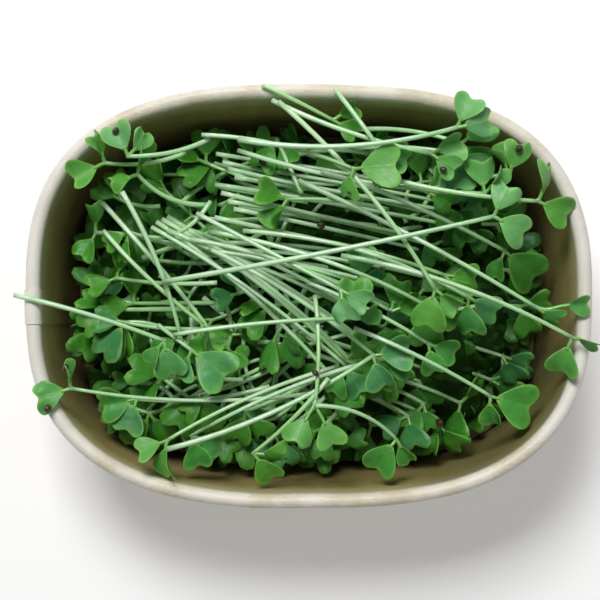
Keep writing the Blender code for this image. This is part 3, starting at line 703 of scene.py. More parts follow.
# The sprouts on top, each with its own solid
LOOSE_SPROUTS = sprouts((
    ((-2, 32), (-10, 50), 0, ((235, 10, 10, 10), (300, 10, 20, 9)), True),
    ((12, 52), (47, 46), 2, ((32, 10, 10, 11), (318, 10, 30, 9)), True),
    ((36, 32), (61, 36), 1, ((72, 10, 20, 10), (110, 20, 62, 9)), True),
    ((14, 46), (45, 43), 1, ((275, 5, 0, 12), (325, 10, 20, 9))),
    ((-39, 15), (-67, 20), -1, ((98, 10, 60, 9), (238, 5, 10, 9))),
    ((-38, 44), (-62, 40), 2, ((112, 25, 66, 9), (208, 8, 10, 10, 4))),
    ((-31, 28), (-52, 37), 3, ((80, 25, 70, 10), (200, 10, 40, 8))),
    ((-30, 47), (-54, 41), 2, ((118, 15, 0, 10), (50, 5, 40, 8)), True),
    ((-30, 29), (-56, 20), 6, ((258, 5, 55, 9), (205, 0, 20, 8))),
    ((25, 27), (-7, 30), -1, ((165, 10, 15, 10), (235, 10, 60, 10))),
    ((-22, 46), (53, 30), -3, ((95, 10, 10, 10), (45, 20, 62, 9))),
    ((22, 36), (69, 28), -2, ((62, 20, 68, 10, 4), (336, 5, 10, 11))),
    ((-30, 14), (16, 4), 1, ((80, 20, 15, 11), (20, 10, 40, 9))),
    ((-48, 21), (12, -22), 2, ((300, 5, 10, 10), (240, 5, 30, 9))),
    ((-43, 20), (22, -20), 3, ((345, 10, 10, 10), (270, 5, 30, 9))),
    ((-36, 17), (26, -5), 3, ((72, 15, 10, 10), (15, 10, 20, 9))),
    ((-31, 20), (38, -4), 3, ((262, 5, 0, 12), (330, 10, 50, 9))),
    ((-20, 20), (42, 6), 2, ((352, 5, 15, 10), (310, 5, 15, 10))),
    ((0, 4), (37, -15), 1, ((338, 10, 10, 9), (284, 5, 10, 9))),
    ((14, 14), (49, -1), 1, ((268, 0, 40, 11), (330, 10, 20, 10))),
    ((-64, 29), (-27, -15), 1, ((300, 5, 20, 10), (240, 5, 20, 9))),
    ((-63, 20), (-32, -9), -1, ((330, 5, 20, 9), (270, 5, 40, 9))),
    ((-56, 31), (-39, -13), 2, ((285, 5, 20, 9), (215, 5, 20, 9))),
    ((-12, -28), (-54, -32), 2, ((192, 5, 0, 12), (250, 10, 0, 11))),
    ((2, -30), (-72, -28), 3, ((100, 25, 80, 8), (196, 0, 10, 11)), True),
    ((8, -22), (-43, -44), -2, ((262, 0, 60, 11), (200, 5, 30, 9))),
    ((16, -21), (-36, -43), -2, ((282, 0, 0, 10), (340, 5, 30, 9))),
    ((-42, -46), (20, -18), -3, ((8, 8, 10, 12), (290, 5, 20, 10))),
    ((6, -25), (-17, -48), 1, ((300, 0, 20, 10), (350, 5, 40, 9))),
    ((2, 0), (2, -32), 1, ((244, -3, 0, 10, 8), (291, -3, 0, 10, 9))),
    ((2, -33), (27, -44), 3, ((236, 0, 10, 12), (300, 5, 40, 8))),
    ((14, -10), (56, -31), 1, ((342, 3, 0, 15), (270, -5, 40, 9))),
    ((-46, -9), (-35, -17), 0, ((322, 3, 0, 15), (250, -5, 40, 9))),
    ((-41, -12), (13, -7), 1, ((78, 20, 20, 12), (15, 10, 50, 9))),
    ((4, 38), (62, 14), 1, ((320, 3, 0, 15), (250, 0, 50, 9))),
    ((-3, 36), (69, -4), 1, ((3, 3, 30, 8, 12), (325, 0, 45, 8))),
    ((10, 12), (79, -13), 3, ((256, -10, 20, 11, 4), (345, 5, 70, 8))),
    ((-14, 63.4), (8, 53), 0, ((330, 10, 0, 8), (30, 10, 40, 8))),
    ((-11, 59), (37, 42), -2, ((20, 10, 30, 10), (325, 5, 20, 9))),
    ((8, 62), (22, 42), 0, ((280, 5, 20, 9), (340, 5, 20, 8))),
    ((-9, 58), (38, 1), 3, ((256, 0, 15, 12), (320, 5, 45, 9))),
    ((-88.7, 0), (-43, -14), 1, ((283, 5, 5, 11), (235, -5, 40, 8))),
    ((-34, 25), (10, 1), 0, ((330, 5, 20, 9), (280, 5, 30, 9))),
    ((-32, 48), (14, 37), 2, ((2, 20, 0, 14), (252, -5, 40, 8))),
    ((-21, 46), (44, 49), -4, ((62, 8, -10, 10), (8, 8, 25, 10))),
    ((-44, 4), (55, 23), -1, ((63, 10, 0, 10), (332, 5, 0, 11))),
))
stem_lengths = sorted(math.dist(sprout.cut, sprout.neck) for sprout in LOOSE_SPROUTS)
print("stems on top:", len(stem_lengths), "from", round(stem_lengths[0]), "to", round(stem_lengths[-1]), "mm")
print("listed under them:", len(BUNDLED_SPROUTS), len(HALF_HIDDEN_SPROUTS), len(BED_SPROUTS))

# %% [markdown]
# ## The line of a stem
# A cut stem is limp and lies in a slow bow over its neighbours. Its line is drawn in plan
# from the list and lifted to the heights that are measured on the solid sprout. A few
# heights with a smooth curve through them follow the solid without its small steps.

# %% Draw a stem's line
STEM_POINTS = 5
STEM_DROOP = 1.5 * MM
NEAR_STEM = 0.9 * MM


def plan_line(sprout, count):
    """Points of the stem seen from above, and how far along the stem each one is."""
    cut, neck = np.array(sprout.cut) * MM, np.array(sprout.neck) * MM
    share = np.linspace(0, 1, count)[:, None]
    aside = unit(np.array((cut[1] - neck[1], neck[0] - cut[0]))) * sprout.bow * MM
    return cut + (neck - cut) * share + aside * 4 * share * (1 - share), share[:, 0]


def solid_heights(name, places):
    """The height of a solid sprout's stem at each place, from the points of its mesh."""
    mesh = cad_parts[name].data
    points = np.array([v.co for v in mesh.vertices])
    heights = []
    for place in places:
        reach = np.hypot(*(points[:, :2] - place).T)
        near = points[reach < max(NEAR_STEM, np.sort(reach)[5] + 0.01 * MM)]
        heights.append(np.median(near[:, 2]))
    return np.array(heights)


def eased(share, heights):
    """A smooth curve through evenly spaced heights."""
    knots = np.linspace(0, 1, len(heights))
    slopes = np.gradient(heights, knots)
    i = np.clip((share * (len(heights) - 1)).astype(int), 0, len(heights) - 2)
    h = knots[1]
    t = (share - knots[i]) / h
    rise = (2 * t**3 - 3 * t**2 + 1) * heights[i] + (3 * t**2 - 2 * t**3) * heights[i + 1]
    return rise + h * ((t**3 - 2 * t**2 + t) * slopes[i] + (t**3 - t**2) * slopes[i + 1])


# %% [markdown]
# ## The leaves of a sprout
# No two seed leaves open alike: some fold up along the rib, a few fold down, and most are
# cupped or wavy. Those amounts are drawn at random from a fixed seed. Two leaf stalks start
# inside the stem's end, leave it along its own line and bend out into the base of their
# leaf, so each is the stem's model again, laid along a short curve.

# %% Shape a leaf and draw its stalk
STALK_ROOT, STALK_BEND = 1.2 * MM, 0.6 * MM
# How far a stalk runs into the base of its leaf, in millimetres
STALK_OVERLAP = 0.9


def leaf_shape(draw, roll, share):
    """A leaf's own fold, curl, cup, wave and turn, as a share of their full size."""
    fold = draw.choice((0.7, 1, 1.8, -0.6)) * draw.uniform(0.1, 0.6) + abs(roll) * 0.004
    curl, cup = draw.uniform(-0.1, 0.45), draw.uniform(-0.9, 0.4)
    wave, turn = draw.uniform(-0.7, 0.7), draw.uniform(-1, 1)
    return fold * share, curl * share, cup * share, wave * share, turn


def stalk_line(root, ending, along, reach):
    """The leaf stalk's line: it leaves along the stem and bends round into the leaf's base."""
    t = np.linspace(0, 1, 7)[:, None]
    start, end = root - ending * STALK_ROOT, root + along * reach
    bend = 0.5 * reach + STALK_BEND
    a, b = start + ending * bend, end - along * bend
    return (1 - t) ** 3 * start + 3 * t * (1 - t) ** 2 * a + 3 * t**2 * (1 - t) * b + t**3 * end


# %% [markdown]
# ## Many copies in one mesh
# A piece holds the parts of one sprout or of many, with one finish for stems and one for
# leaves. Joining hundreds of objects would be slow, so the copies are gathered as lists of
# points and faces, and the mesh is made once.

# %% Gather copies into a piece
STEM_KIND, LEAF_KIND = 0, 1
STEM_TAPER = 0.8
# How far below its leaves a stem is as pale as at its cut end
GREENING = 60 * MM


class Bunch:
    """Copies of the models, gathered into one mesh."""

    def __init__(self, draw):
        self.draw = draw
        self.points, self.faces, self.lays, self.kinds = [], [], [], []
        self.count = 0

    def add(self, model, points, kind, tone, start=0.0, scale=1.0):
        """A model's copy. On stems, the lay's last number runs from start, to colour them."""
        lay = model.lay.copy()
        if kind == STEM_KIND:
            lay[:, 2] = start + lay[:, 2] * scale
        self.points.append(points)
        self.lays.append(np.concatenate([lay, np.full((len(lay), 1), tone)], axis=1))
        self.faces += [tuple(i + self.count for i in face) for face in model.faces]
        self.kinds += [kind] * len(model.faces)
        self.count += len(points)

    def add_sprout(self, sprout, line, slope, leaf_model):
        """A stem along the line and the sprout's leaves at its end."""
        draw, tone = self.draw, self.draw.random()
        radius = STEM_RADIUS * draw.uniform(0.84, 1.08)
        length = np.linalg.norm(np.diff(line, axis=0), axis=1).sum()
        stem_points = lay_stem(line, radius, STEM_TAPER)
        self.add(STEM, stem_points, STEM_KIND, tone, 1.0 - length / GREENING, length / GREENING)
        ending = unit(line[-1] - line[-2])
        root = line[-1] - ending * STEM_RADIUS
        start = np.array(sprout.cut) * MM
        along = unit(np.array(sprout.neck) * MM - start)
        for leaf in (Leaf(*leaf) for leaf in sprout.leaves):
            shape = leaf_shape(draw, leaf.roll, 1.0 if leaf_model is FINE_LEAF else 0.7)
            points, matrix = lay_leaf(leaf_model, root, leaf, shape)
            points[:, 2] += slope * ((points[:, :2] - root[:2]) @ along)
            outward = matrix @ np.array((1, 0, 0))
            reach = (STALK_SHARE * leaf.stalk + STALK_OVERLAP) * MM
            stalk = stalk_line(root, ending * (1, 1, 0), outward, reach)
            stalk[:, 2] += slope * ((stalk[:, :2] - root[:2]) @ along)
            stalk_points = lay_stem(stalk, STALK_RADIUS * draw.uniform(0.9, 1.1), 1.0)
            # A stalk's lay runs on from the stem's, so that it is greener still
            self.add(STEM, stalk_points, STEM_KIND, tone, 1.0, 0.3)
            leaf_tone = min(max(tone + draw.uniform(-0.15, 0.15), 0), 1)
            self.add(leaf_model, points, LEAF_KIND, leaf_tone)

    def piece(self, name):
        """All that was gathered, as an object."""
        mesh = bpy.data.meshes.new(name)
        mesh.from_pydata(np.concatenate(self.points), [], self.faces)
        lay = np.concatenate(self.lays)
        add_lay(mesh, lay[:, :3])
        tone = mesh.attributes.new("tone", "FLOAT", "POINT")
        tone.data.foreach_set("value", lay[:, 3].astype(np.float32))
        mesh.polygons.foreach_set("material_index", self.kinds)
        mesh.polygons.foreach_set("use_smooth", [True] * len(self.kinds))
        mesh.update()
        piece = bpy.data.objects.new(name, mesh)
        bpy.context.scene.collection.objects.link(piece)
        return piece


# %% [markdown]
# ## The finish of stems and leaves
# A fresh stem is watery and nearly colourless at its cut end, with fine lines along it, and
# turns greener towards its leaves. A seed leaf is matt, with a paler rib, faint side veins
# and a thin pale edge. Every sprout differs a little in tone, from yellow green to blue green.
# Leaves high on the heap get painted light, paler and a little blue, and deep in the heap
# they get painted shade. The attribute lay says where on the stem or leaf a point is, and
# tone tells the sprouts apart.


# %% Stem and leaf finishes
def stem_finish():
    """Watery at the cut end, greener towards the leaves, and greenest on their stalks."""
    finish = Finish(
        "stem", Subsurface_Weight=0.25, Subsurface_Radius=(0.6, 1.0, 0.5), Subsurface_Scale=1.5 * MM,
        Coat_Roughness=0.12,
    )
    lay = finish.attribute("lay")
    along = finish.parts(lay)[2]
    tone = finish.attribute("tone", "Fac")
    streak = finish.noise(finish.stretch(lay, (1.3, 1.3, 2.2)), 1, 2)
    cloud = finish.noise(finish.place(), 130, 2)
    base = finish.blend(finish.smooth(along, 0.2, 1.0), (0.57, 0.83, 0.48), (0.33, 0.67, 0.22))
    base = finish.blend(tone * 0.35, base, (0.48, 0.77, 0.57))
    base = finish.blend(finish.smooth(streak, 0.45, 0.75) * 0.5, base, (0.82, 0.98, 0.82))
    base = finish.blend(finish.smooth(cloud, 0.5, 0.75) * 0.35, base, (0.20, 0.52, 0.13))
    base = finish.blend(finish.smooth(along, 0.95, 1.25), base, (0.17, 0.46, 0.08))
    finish.drive("Base Color", base)
    finish.drive("Roughness", 0.24 + streak * 0.22)
    finish.drive("Coat Weight", finish.clamp(0.15 + cloud * 0.5))
    finish.bump(streak, 0.12, 0.0002)
    return finish.material


def leaf_finish():
    """Each leaf in its own green, with painted light on top of the heap and painted shade inside it."""
    finish = Finish(
        "seed leaf", Subsurface_Weight=0.06, Subsurface_Radius=(0.4, 1.0, 0.3),
        Subsurface_Scale=1 * MM, Specular_IOR_Level=0.42,
    )
    along, across = finish.parts(finish.attribute("lay"))[:2]
    tone = finish.attribute("tone", "Fac")
    across = finish.maths("ABSOLUTE", across)
    rib = 1 - finish.smooth(across, 0.0, 0.10)
    veins = finish.maths("SINE", (along - across * 0.55) * 21.0)
    veins = finish.smooth(veins, 0.86, 1.0) * finish.smooth(across, 0.02, 0.2)
    margin = finish.smooth(finish.maths("MAXIMUM", along, across), 0.80, 1.0)
    cloud = finish.noise(finish.place(), 260, 3)
    grain = finish.noise(finish.place(), 2600, 2)
    swell = finish.noise(finish.place(), 230, 1)
    height = finish.parts(finish.place())[2]
    # Painted light: leaves high on the heap are paler and a little blue
    painted_top_light = finish.smooth(height, 46 * MM, 66 * MM)
    base = finish.blend(tone, (0.068, 0.30, 0.016), (0.044, 0.28, 0.040))
    base = finish.blend(finish.smooth(tone, 0.75, 0.95) * 0.7, base, (0.045, 0.22, 0.10))
    base = finish.blend(finish.smooth(cloud, 0.35, 0.75) * 0.4, base, (0.11, 0.41, 0.06))
    base = finish.blend(painted_top_light * 0.5 * tone, base, (0.20, 0.50, 0.27))
    base = finish.blend(painted_top_light * 0.45, base, (0.20, 0.51, 0.13))
    base = finish.blend((1 - finish.smooth(along, 0.02, 0.30)) * 0.7, base, (0.24, 0.50, 0.12))
    base = finish.blend(rib * 0.08, base, (0.26, 0.56, 0.14))
    base = finish.blend(veins * 0.06, base, (0.20, 0.48, 0.12))
    base = finish.blend(margin * 0.35, base, (0.30, 0.64, 0.12))
    # Painted shade: leaves deep in the heap are darker
    base = finish.blend(finish.smooth(height, 50 * MM, 10 * MM) * 0.6, base, (0.015, 0.085, 0.006))
    finish.drive("Base Color", base)
    finish.drive("Roughness", 0.34 + cloud * 0.25)
    finish.bump(swell * 3.0 + grain * 0.15 + veins * 0.2 + rib * 0.2, 0.5, 0.0004)
    return finish.material


STEM_FINISH, LEAF_FINISH = stem_finish(), leaf_finish()
GREENS = (STEM_FINISH, LEAF_FINISH)
print("leaf nodes:", len(LEAF_FINISH.node_tree.nodes))

# %% [markdown]
# ## The sprouts on top
# Each one replaces its own solid. They differ only in the list's numbers, so one loop lays
# them all. Some of them keep a seed coat on a leaf, so a place on that leaf is noted for later.

# %% Lay the loose sprouts
draw = random.Random(11)
placed, seed_places = [], []
for number, sprout in enumerate(LOOSE_SPROUTS, 1):
    node = f"sprout_{number:02d}"
    places, share = plan_line(sprout, STEM_POINTS)
    heights = solid_heights(node, places)
    arch = heights + STEM_DROOP * (1 - 4 * share * (1 - share))
    length = math.dist(sprout.cut, sprout.neck) * MM
    slope = (arch[-1] - arch[-2]) / (length / (STEM_POINTS - 1))
    fine, share = plan_line(sprout, 41)
    line = np.column_stack([fine, eased(share, heights)])
    bunch = Bunch(draw)
    bunch.add_sprout(sprout, line, float(np.clip(slope, -0.4, 0.4)), FINE_LEAF)
    if sprout.seed:
        tip = np.argmin(np.hypot(FINE_LEAF.lay[:, 0] - 0.8, FINE_LEAF.lay[:, 1]))
        seed_places.append(bunch.points[2][tip])
    piece = bunch.piece(f"loose_{node}")
    hand_over(piece, GREENS, "sprout", node)
    placed.append(piece)
print("loose sprouts", len(placed), "faces", sum(len(p.data.polygons) for p in placed))

# %% [markdown]
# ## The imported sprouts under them
# The solid bed stands for sprouts that can't be told apart. Here they are laid one by one,
# from the top down. A grid in plan holds the underside of all that is laid so far. Other
# grids hold the bowl's floor and wall, which stop the heap, and the top of what is laid.

# %% The underside grid
CELL = 0.5 * MM
GRID_HALF = np.array((95.0, 72.0)) * MM
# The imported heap's outline in plan, and how high it may reach in its middle and at its edge
BED_HALF = np.array((73.5, 51.5)) * MM
BED_CENTRE = np.array((-1.5, -1.5)) * MM
BED_TOP, BED_EDGE = 46 * MM, 34 * MM
SAMPLE_STEPS = 7
WALL_RINGS = 27


def ovalness(x, y, half=BED_HALF, centre=BED_CENTRE, power=2.75):
    """1 on the bed's outline, less inside it."""
    across, along = np.abs((x - centre[0]) / half[0]), np.abs((y - centre[1]) / half[1])
    return (across**power + along**power) ** (1 / power)


def spread_samples(points, triangles):
    """Points spread evenly over each triangle."""
    a, b, c = (points[triangles[:, i]] for i in range(3))
    u, v = np.meshgrid(np.linspace(0, 1, SAMPLE_STEPS), np.linspace(0, 1, SAMPLE_STEPS))
    inside = u + v <= 1.001
    u, v = u[inside][None, :, None], v[inside][None, :, None]
    return (a[:, None] * (1 - u - v) + b[:, None] * u + c[:, None] * v).reshape(-1, 3)


def fan(faces):
    """Each face as triangles."""
    return np.array([(f[0], f[i], f[i + 1]) for f in faces for i in range(1, len(f) - 1)])


def cells_of(samples):
    """The grid cell under each sample."""
    index = ((samples[:, :2] + GRID_HALF) / CELL).astype(int) + 1
    return tuple(np.clip(index, 1, np.array(underside.shape) - 2).T)


grid_x, grid_y = (np.arange(int(2 * half / CELL) + 3) * CELL - half - CELL / 2 for half in GRID_HALF)
grid_x, grid_y = np.meshgrid(grid_x, grid_y, indexing="ij")
underside = BED_TOP - (BED_TOP - BED_EDGE) * ovalness(grid_x, grid_y) ** 3
floor_height = np.full(underside.shape, BASE_RECESS + BOARD)
for share in np.arange(WALL_RINGS) / (WALL_RINGS - 1):
    half_x, half_y, power = oval(share)
    half = np.array((half_x, half_y)) - BOARD - GAP
    outside = ovalness(grid_x, grid_y, half, (0, 0), power) > 1
    floor_height[outside] = share * HEIGHT
top = floor_height.copy()
for piece in placed:
    points = np.array([v.co for v in piece.data.vertices])
    samples = spread_samples(points, fan([tuple(p.vertices) for p in piece.data.polygons]))
    np.minimum.at(underside, cells_of(samples), samples[:, 2])
    np.maximum.at(top, cells_of(samples), samples[:, 2])
print("grid", underside.shape)

# %% [markdown]
# ## Tucking a sprout under the rest
# Each new sprout is lifted until it touches the underside somewhere in each half, sagging
# between as a limp stem does, so that it lies just under its neighbours and crosses none.
# A physics simulation could drop them instead, but it would be slow and would not keep the
# places that the list gives.

# %% Tuck a sprout
# The steepest that a limp stem hangs, and how deep it may press into what lies over it
SLOPE = math.tan(math.radians(30))
NESTED = 0.35 * MM
BINS = 40


def arch_over(place, need):
    """The lowest arch over every need that is nowhere steeper than a limp stem hangs."""
    width = (place.max() - place.min()) / BINS
    bins = np.minimum(((place - place.min()) / width).astype(int), BINS - 1)
    middle = place.min() + width * (np.arange(BINS) + 0.5)
    level = np.full(BINS, -1.0)
    np.maximum.at(level, bins, need)
    level = np.max(level[None, :] - SLOPE * np.abs(middle[:, None] - middle[None, :]), axis=1)
    corners = []
    for i in range(BINS):
        while len(corners) > 1:
            a, b = corners[-2:]
            if (level[b] - level[a]) * (i - a) > (level[i] - level[a]) * (b - a):
                break
            corners.pop()
        corners.append(i)
    return middle[corners], level[corners]


def room_over(samples):
    """How far each sample can rise before it nests too deep into what lies over it."""
    return underside[cells_of(samples)] + NESTED - samples[:, 2]


def tuck(bunch, sprout, leaf_model):
    """Adds a sprout as high as it goes under the rest. False if the bowl is in its way."""
    trial = Bunch(bunch.draw)
    fine, share = plan_line(sprout, 25)
    line = np.column_stack([fine, np.zeros(len(fine))])
    trial.add_sprout(sprout, line, 0.0, leaf_model)
    points = np.concatenate(trial.points)
    triangles = fan(trial.faces)
    start = np.array(sprout.cut) * MM
    along = unit(np.array(sprout.neck) * MM - start)
    samples = spread_samples(points, triangles)
    corners, level = arch_over((samples[:, :2] - start) @ along, -room_over(samples))
    points[:, 2] -= np.interp((points[:, :2] - start) @ along, corners, level)
    samples = spread_samples(points, triangles)
    drop = min(0.0, room_over(samples).min())
    points[:, 2] += drop
    samples[:, 2] += drop
    if (samples[:, 2] - floor_height[cells_of(samples)]).min() < GAP:
        return False
    np.minimum.at(underside, cells_of(samples), samples[:, 2])
    np.maximum.at(top, cells_of(samples), samples[:, 2])
    first = 0
    for index, part in enumerate(trial.points):
        trial.points[index] = points[first : first + len(part)]
        first += len(part)
    bunch.points += trial.points
    bunch.lays += trial.lays
    bunch.faces += [tuple(i + bunch.count for i in face) for face in trial.faces]
    bunch.kinds += trial.kinds
    bunch.count += trial.count
    return True


# %% [markdown]
# ## Choosing where the next sprout goes
# Once the listed sprouts are laid, each next one is the roomiest of two dozen random ones.
# The gaps get smaller as the bowl fills, so the sprouts get shorter too, and the shortest
# keep one leaf.

# %% Choose the next sprout
CANDIDATES = 24
# Stem lengths in millimetres, and how much shorter the next sprout is
LONGEST, SHORTEST, SHORTENING = 75, 18, 0.1
ONE_LEAF_UNDER = 30
ANY_HEADING = (0, 6.28)


def random_sprout(draw, longest):
    """A sprout inside the bed's outline, with its leaves mostly towards the outside."""
    while True:
        neck = np.array((draw.uniform(-1, 1), draw.uniform(-1, 1))) * BED_HALF * 0.97 + BED_CENTRE
        if ovalness(*neck) > 0.95 or ovalness(*neck) ** 2 < draw.uniform(0, 0.7):
            continue
        outward = math.atan2(neck[1] / BED_HALF[1], neck[0] / BED_HALF[0])
        heading = draw.gauss(outward, 0.7) if draw.random() < 0.75 else draw.uniform(*ANY_HEADING)
        length = draw.uniform(10, longest * (0.6 if draw.random() < 0.6 else 1)) * MM
        cut = neck - length * np.array((math.cos(heading), math.sin(heading)))
        if ovalness(*cut) < 0.92:
            break
    facing = math.degrees(heading)
    leaves = []
    for side in (1, -1):
        turn, pitch, roll = side * draw.uniform(15, 75), draw.uniform(-8, 22), draw.gauss(0, 34)
        leaves.append((facing + turn, pitch, roll, draw.uniform(7, 12), draw.uniform(2, 6)))
    if longest < ONE_LEAF_UNDER:
        leaves.pop()
    return Sprout(tuple(cut / MM), tuple(neck / MM), draw.uniform(-4, 4), tuple(leaves))


def room_left(sprout):
    """How high the underside still is along a sprout and at its leaves, at worst and on average."""
    cut, neck = np.array(sprout.cut) * MM, np.array(sprout.neck) * MM
    spots = [cut + (neck - cut) * share for share in np.linspace(0, 1, 12)]
    for leaf in (Leaf(*leaf) for leaf in sprout.leaves):
        turn = math.radians(leaf.heading)
        along = np.array((math.cos(turn), math.sin(turn)))
        across = np.array((-along[1], along[0])) * leaf.width / 2
        for share in (0.1, 0.5, 0.9):
            middle = along * (leaf.stalk + share * leaf.width)
            spots += [neck + (middle + side * across) * MM for side in (-1, 0, 1)]
    room = underside[cells_of(np.array([(*spot, 0) for spot in spots]))]
    return 2 * room.min() + room.mean()


def roomiest(draw, tries):
    """The best of some random sprouts, shorter after more tries."""
    longest = max(SHORTEST, LONGEST - SHORTENING * tries)
    return max((random_sprout(draw, longest) for _ in range(CANDIDATES)), key=room_left)


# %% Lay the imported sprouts
PACKED = 360
PER_PIECE = 60
draw = random.Random(5)
waiting = [*BUNDLED_SPROUTS, *HALF_HIDDEN_SPROUTS, *BED_SPROUTS]
bunches, laid, tries = [Bunch(draw)], 0, 0
while laid < PACKED and tries < 3 * PACKED:
    tries += 1
    sprout = waiting.pop(0) if waiting else roomiest(draw, tries)
    if tuck(bunches[-1], sprout, LEAF):
        laid += 1
        if laid % PER_PIECE == 0:
            bunches.append(Bunch(draw))
for number, bunch in enumerate(bunches, 1):
    if bunch.count:
        hand_over(bunch.piece(f"packed_sprouts_{number}"), GREENS, "sprout_bed", "sprout_bed")
inside = ovalness(grid_x, grid_y) < 0.9
print("packed sprouts", laid, "of", tries, "tries")
room_mm = underside[inside] / MM
print("room under them in mm: mean", round(room_mm.mean(), 1), "least", round(room_mm.min(), 1))

# %% [markdown]
# ## The heart of the heap
# Light hardly reaches the middle of the heap. A low lumpy mound stands there for the stems
# and leaves that no view can tell apart. It starts as a cube that is cut up, rounded and
# roughened. Its very dark green finish is painted shade, which shows between the stems.

# %% Model the heart
HEART_HALF = (60 * MM, 40 * MM, 6 * MM)
HEART_PLACE = (-2 * MM, -1 * MM, 12.5 * MM)
HEART_LUMPS = 1.4 * MM
heart = start_piece("heart", bpy.ops.mesh.primitive_cube_add, size=2)
bpy.ops.mesh.subdivide(number_cuts=15)
bpy.ops.transform.tosphere(value=0.55)
bpy.ops.transform.resize(value=HEART_HALF, center_override=(0, 0, 0))
bpy.ops.transform.translate(value=HEART_PLACE)
bpy.ops.transform.vertex_random(offset=HEART_LUMPS, seed=4)
end_piece(heart, [("SUBSURF", {"levels": 1, "render_levels": 1})])
bpy.ops.object.shade_smooth()


def heart_finish():
    """Very dark green as painted shade, with short streaks, so that gaps show something like more stems."""
    finish = Finish("packed greens in painted shade", Roughness=0.8, Specular_IOR_Level=0.12)
    place = finish.place()
    streak = finish.noise(finish.stretch(place, (230, 420, 300)), 1, 2)
    patch = finish.noise(place, 150, 2)
    threads = finish.smooth(streak, 0.48, 0.6)
    base = finish.blend(threads, (0.008, 0.028, 0.004), (0.025, 0.095, 0.010))
    base = finish.blend(finish.smooth(patch, 0.5, 0.6) * 0.7, base, (0.010, 0.045, 0.004))
    finish.drive("Base Color", base)
    finish.bump(streak + patch, 0.5, 0.0012)
    return finish.material


hand_over(heart, heart_finish(), "sprout_bed", "sprout_bed")

# %% [markdown]
# ## Seed coats and drops
# A sprout sheds the dark coat of its seed, and some coats cling to a leaf or fall among the
# stems. A coat is a small ball, a little flat, pressed in where the root broke out of it.
# A few drops of water stay on the stems from washing. A drop is a ball with a flat foot.
# Both start as a sphere, because a few faces and one subdivision are enough at their size.

# %% Model a seed coat and a drop
ball = {"segments": 12, "ring_count": 8, "radius": 1}
ROUNDED = ("SUBSURF", {"levels": 1, "render_levels": 1})
seed = start_piece("seed", bpy.ops.mesh.primitive_uv_sphere_add, **ball)
pick(seed, lambda p: p.z > 0.75, "FACE")
bpy.ops.mesh.inset(thickness=0.1)
bpy.ops.transform.translate(value=(0, 0, -0.4))
bpy.ops.mesh.select_all(action="SELECT")
bpy.ops.transform.resize(value=(1, 0.86, 0.8))
end_piece(seed, [ROUNDED])
add_lay(seed.data, [v.co for v in seed.data.vertices])

drop = start_piece("drop", bpy.ops.mesh.primitive_uv_sphere_add, **ball)
pick(drop, lambda p: p.z < -0.1)
bpy.ops.transform.resize(value=(1, 1, 0.4), center_override=(0, 0, 0))
end_piece(drop, [ROUNDED])
add_lay(drop.data, [v.co for v in drop.data.vertices])
SEED, DROP = model_of(seed), model_of(drop)


def seed_finish():
    """Dark red brown, finely grained and a little shiny."""
    finish = Finish("seed coat", Coat_Weight=0.3, Coat_Roughness=0.25)
    grain = finish.noise(finish.place(), 1700, 3)
    paler = finish.smooth(grain, 0.35, 0.7)
    base = finish.blend(paler, (0.028, 0.012, 0.014), (0.085, 0.030, 0.024))
    finish.drive("Base Color", base)
    finish.drive("Roughness", 0.38 + grain * 0.2)
    finish.bump(grain, 0.4, 0.0002)
    return finish.material


# %% Lay the seed coats and the drops
SEED_RADIUS = 1.35 * MM
DROP_RADIUS = 0.65 * MM
# Places in millimetres from above
SEED_SPOTS = (
    (-8.6, 54), (-3.5, 21), (4, 22.5), (41, -39.5), (40, 37), (66, 36),
    (-44, -8), (-34, 7), (2, -23.5), (-78, -34), (-52.5, 51),
)
DROP_SPOTS = (
    (28, 13), (-30, 14), (-12, 5), (6, -3), (22, 8),
    (-36, -14), (35, 20), (12, 30), (48, -24), (-8, -36),
)


def spots_on_top(spots, lift):
    """The place of each spot, in millimetres from above, on what lies there."""
    flat = np.column_stack([np.array(spots) * MM, np.zeros(len(spots))])
    flat[:, 2] = top[cells_of(flat)] + lift
    return list(flat)


def lay_beads(name, model, places, radius, material, tilt):
    """A copy of the model at each place, turned any way and tilted a little, in one piece."""
    bunch = Bunch(draw)
    for place in places:
        x, y, z = draw.uniform(-tilt, tilt), draw.uniform(-tilt, tilt), draw.uniform(*ANY_HEADING)
        turn = Matrix.Rotation(z, 3, "Z") @ Matrix.Rotation(x, 3, "X") @ Matrix.Rotation(y, 3, "Y")
        points = model.points @ np.array(turn).T * radius * draw.uniform(0.85, 1.15) + place
        bunch.add(model, points, STEM_KIND, 0.5)
    hand_over(bunch.piece(name), material, "sprout", *LOOSE_NODES)
    print(name, len(places))


draw = random.Random(3)
LOOSE_NODES = [f"sprout_{number:02d}" for number in range(1, len(LOOSE_SPROUTS) + 1)]
clinging = [place + (0, 0, 0.9 * SEED_RADIUS) for place in seed_places]
seed_spots = clinging + spots_on_top(SEED_SPOTS, 0.8 * SEED_RADIUS)
lay_beads("seed_coats", SEED, seed_spots, SEED_RADIUS, seed_finish(), 1.5)
water = Finish("water", Roughness=0.03, IOR=1.33, Transmission_Weight=1.0).material
lay_beads("drops", DROP, spots_on_top(DROP_SPOTS, 0.1 * MM), DROP_RADIUS, water, 0.2)

# %% [markdown]
# ## The floor, the light and the camera
# The bowl is seen from straight above on a plain pale floor. A soft lamp behind it gives the
# shadows their direction, a wide weak one to the right fills them, and a dim pale sky lights
# the rest. A floor in lamplight would darken with distance, so it also glows a little, and
# more so far from the bowl, which keeps it pale in low views too.

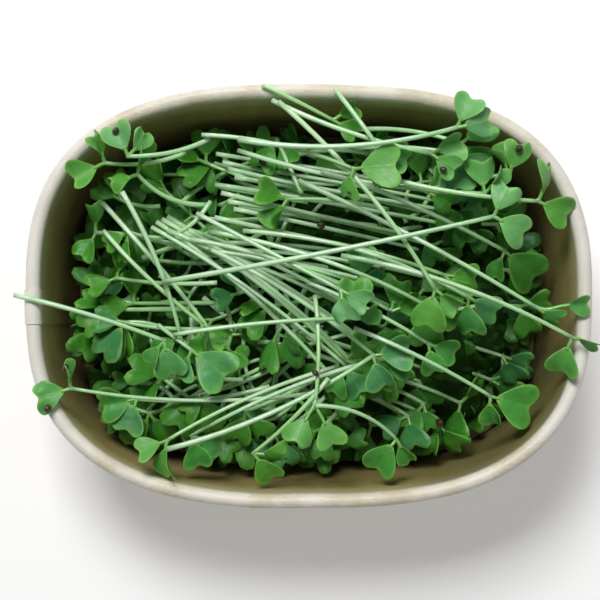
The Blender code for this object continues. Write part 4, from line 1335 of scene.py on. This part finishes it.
# %% Set the stage
FLOOR_SIZE = 24
NEAR_GLOW, FAR_GLOW = (0.22, 0.22, 0.22), (0.85, 0.85, 0.85)
SKY = 0.14
bpy.ops.object.select_all(action="DESELECT")
bpy.ops.mesh.primitive_plane_add(size=FLOOR_SIZE)
floor = bpy.context.object
floor.name = "floor"
floor_finish = Finish("pale floor", Roughness=0.9, Emission_Strength=1.0)
floor_finish.drive("Base Color", (0.90, 0.90, 0.90))
from_bowl = {0: floor_finish.place()}
distance = floor_finish.node("VectorMath", {"operation": "LENGTH"}, from_bowl, "Value")
glow = floor_finish.blend(floor_finish.smooth(distance, 0.2, 1.6), NEAR_GLOW, FAR_GLOW)
floor_finish.drive("Emission Color", glow)
floor.data.materials.append(floor_finish.material)

world = bpy.data.worlds.new("studio")
world.use_nodes = True
world.node_tree.nodes["Background"].inputs["Color"].default_value = (1, 1, 1, 1)
world.node_tree.nodes["Background"].inputs["Strength"].default_value = SKY
bpy.context.scene.world = world
bpy.context.scene.view_settings.view_transform = "Standard"
print("floor", FLOOR_SIZE, "m, sky", SKY)

# %% Add the lamps
LIT = (0, 0, 0.05)


def add_light(name, power, size, place):
    """A square soft lamp at the place, turned to the heap."""
    light = bpy.data.lights.new(name, "AREA")
    light.energy, light.size = power, size
    lamp = bpy.data.objects.new(name, light)
    lamp.location = place
    lamp.rotation_euler = (Vector(LIT) - Vector(place)).to_track_quat("-Z", "Y").to_euler()
    bpy.context.scene.collection.objects.link(lamp)
    print(name, power, "W", size, "m wide")


add_light("key", 11.6, 0.42, (-0.20, 0.62, 0.98))
add_light("fill", 0.9, 0.9, (0.55, -0.2, 0.95))

# %% Place the camera
CAMERA_HEIGHT = 0.472
CAMERA_ANGLE = 24.3
# What it looks at, at the height of the rim, and how far it stands forward of that
AIM_X, AIM_Y = -0.00256, -0.0015
FORWARD = 0.010
camera = bpy.data.objects.new("camera", bpy.data.cameras.new("camera"))
camera.data.angle = math.radians(CAMERA_ANGLE)
camera.data.clip_start = 0.01
camera.location = (AIM_X, AIM_Y - FORWARD, CAMERA_HEIGHT)
camera.rotation_euler = (math.atan2(FORWARD, CAMERA_HEIGHT - HEIGHT), 0, 0)
bpy.context.scene.collection.objects.link(camera)
bpy.context.scene.camera = camera
print("camera leans by", round(math.degrees(camera.rotation_euler.x), 2), "degrees")
